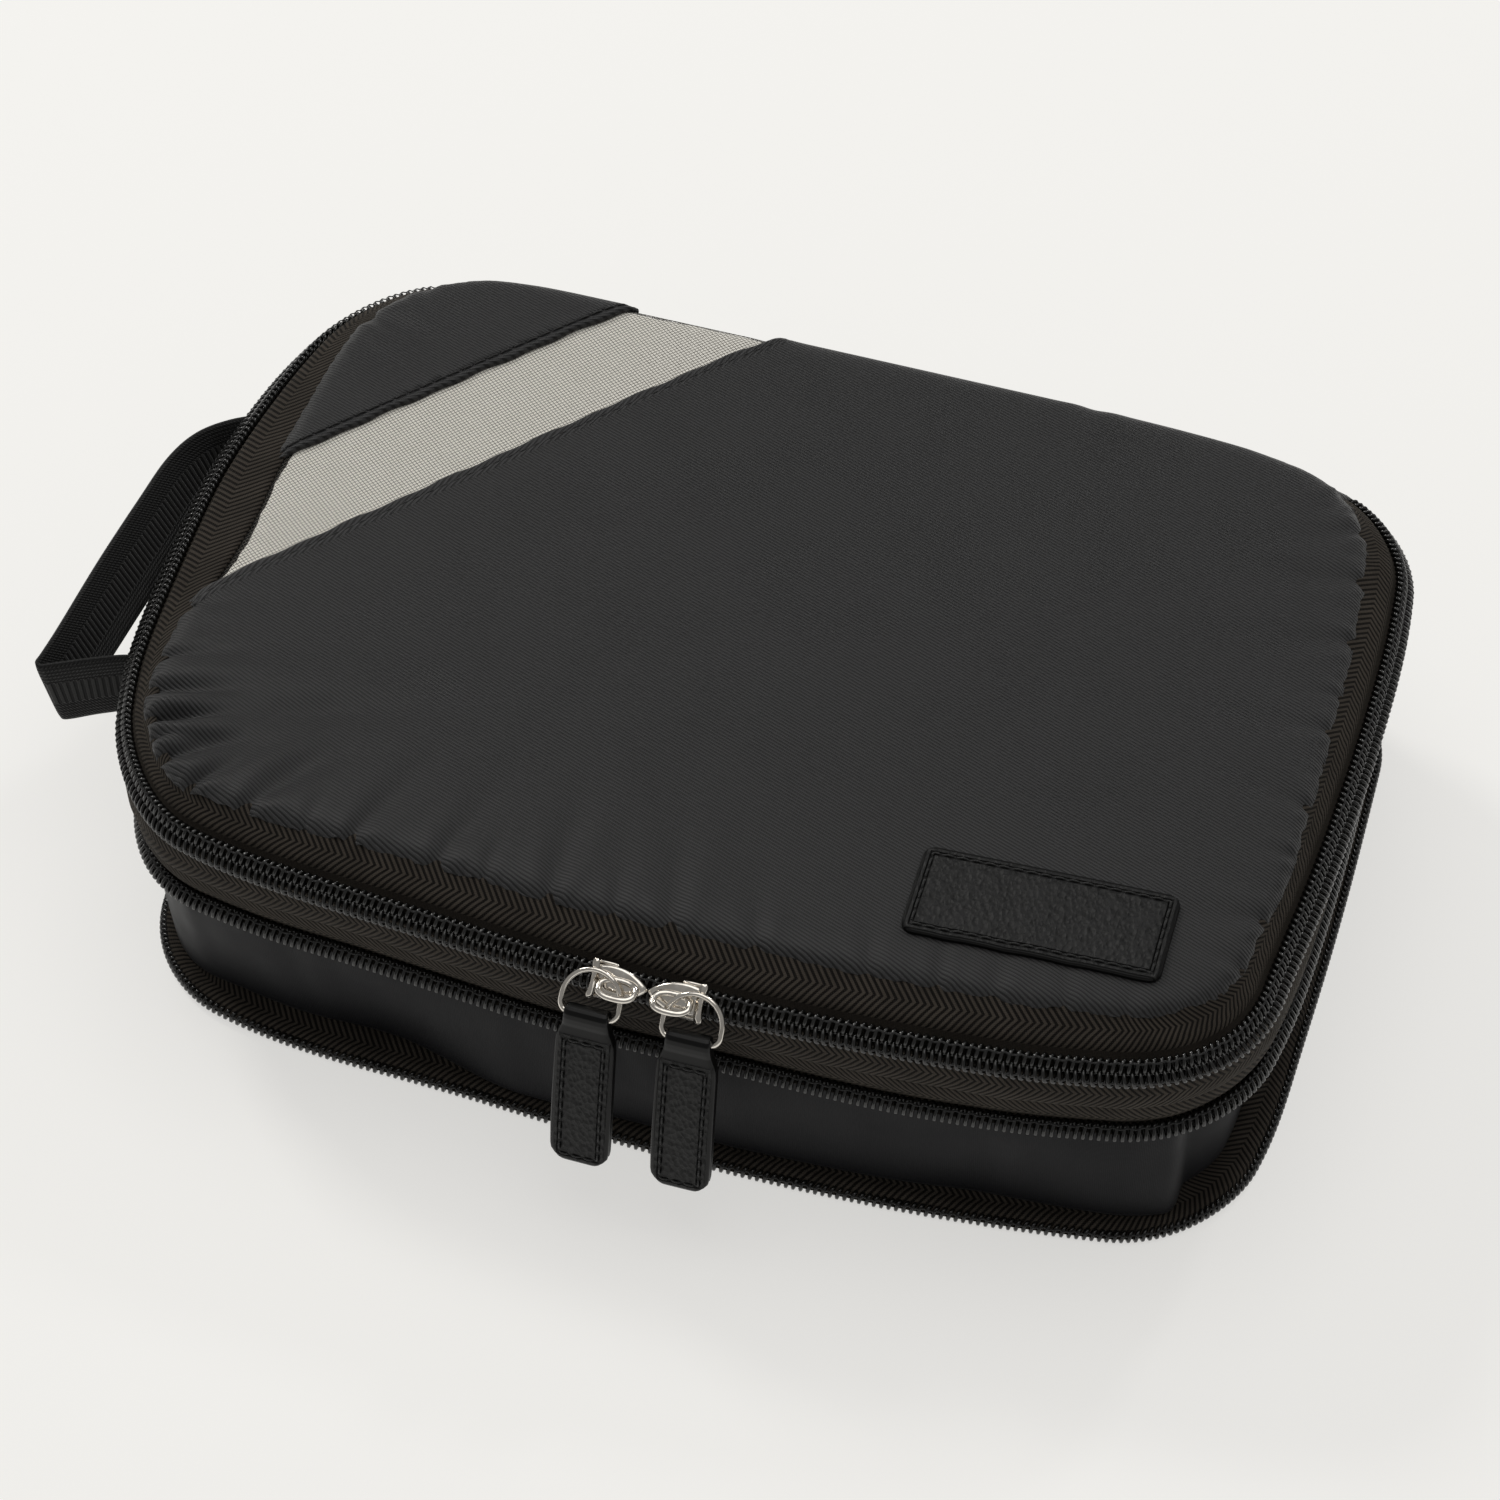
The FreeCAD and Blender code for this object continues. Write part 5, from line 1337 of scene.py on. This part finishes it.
def floor():
    """A plain pale floor, marked as not part of the object."""
    mesh = bpy.data.meshes.new("floor")
    size = 6.0
    mesh.from_pydata([(-size, -size, 0), (size, -size, 0), (size, size, 0), (-size, size, 0)],
                     [], [(0, 1, 2, 3)])
    shade = bpy.data.materials.new("floor")
    shade.use_nodes = True
    surface = shade.node_tree.nodes["Principled BSDF"]
    surface.inputs["Base Color"].default_value = (0.42, 0.417, 0.405, 1)
    surface.inputs["Roughness"].default_value = 0.9
    surface.inputs["Specular IOR Level"].default_value = 0.1
    surface.inputs["Emission Color"].default_value = (1.0, 0.99, 0.965, 1)
    surface.inputs["Emission Strength"].default_value = 0.575
    mesh.materials.append(shade)
    thing = bpy.data.objects.new("floor", mesh)
    bpy.context.scene.collection.objects.link(thing)
    thing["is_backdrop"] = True


def soft_light(name, spot, target, size, power, colour=(1.0, 1.0, 1.0)):
    """A square area light that looks at a point."""
    lamp = bpy.data.lights.new(name, "AREA")
    lamp.shape = "SQUARE"
    lamp.size = size
    lamp.energy = power
    lamp.color = colour
    thing = bpy.data.objects.new(name, lamp)
    thing.location = spot
    thing.rotation_euler = (Vector(target) - Vector(spot)).to_track_quat("-Z", "Y").to_euler()
    bpy.context.scene.collection.objects.link(thing)


def lights():
    """An even pale studio: a wide light overhead, a softbox on the left, a small one behind."""
    world = bpy.data.worlds.new("studio")
    bpy.context.scene.world = world
    world.use_nodes = True
    background = world.node_tree.nodes["Background"]
    background.inputs["Color"].default_value = (1.0, 0.995, 0.98, 1)
    background.inputs["Strength"].default_value = 0.24
    soft_light("top", (0.1, 0.2, 2.7), (0, 0, 0.05), 2.4, 23.0, (1.0, 0.99, 0.97))
    soft_light("key", (-1.6, 1.0, 1.7), (0, 0, 0.05), 0.5, 17.0, (1.0, 0.985, 0.95))
    soft_light("spark", (0.5, 1.6, 1.5), (0, 0, 0.05), 0.22, 4.5)
    bpy.context.scene.view_settings.view_transform = "Standard"


def camera():
    """The camera: azimuth, elevation and roll in degrees, place in metres."""
    azimuth, elevation, roll = (math.radians(v) for v in (18.8, 47.9, -0.8))
    back = Vector((math.sin(azimuth) * math.cos(elevation),
                   -math.cos(azimuth) * math.cos(elevation), math.sin(elevation)))
    level = Vector((math.cos(azimuth), math.sin(azimuth), 0))
    upright = back.cross(level)
    right = level * math.cos(roll) + upright * math.sin(roll)
    up = back.cross(right)
    lens = bpy.data.cameras.new("camera")
    lens.lens, lens.sensor_width = 109.8, 36.0
    lens.clip_start, lens.clip_end = 0.05, 20.0
    thing = bpy.data.objects.new("camera", lens)
    thing.matrix_world = Matrix.Translation((0.20707, -0.62419, 0.75625)) @ Matrix(
        (right, up, back)).transposed().to_4x4()
    bpy.context.scene.collection.objects.link(thing)
    bpy.context.scene.camera = thing


camera()
lights()
floor()
main_zip()
compression_zip()
wall()
seams()
lid_panels()
net()
lining()
hems()
label()
main_slider("left", 1)
main_slider("right", -1)
compression_slider()
handle()
back_fabric()
base()

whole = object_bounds()
as_lists = lambda box: [list(map(float, corner)) for corner in box]
{"cad": as_lists(cad_box), "visual": as_lists(whole)}
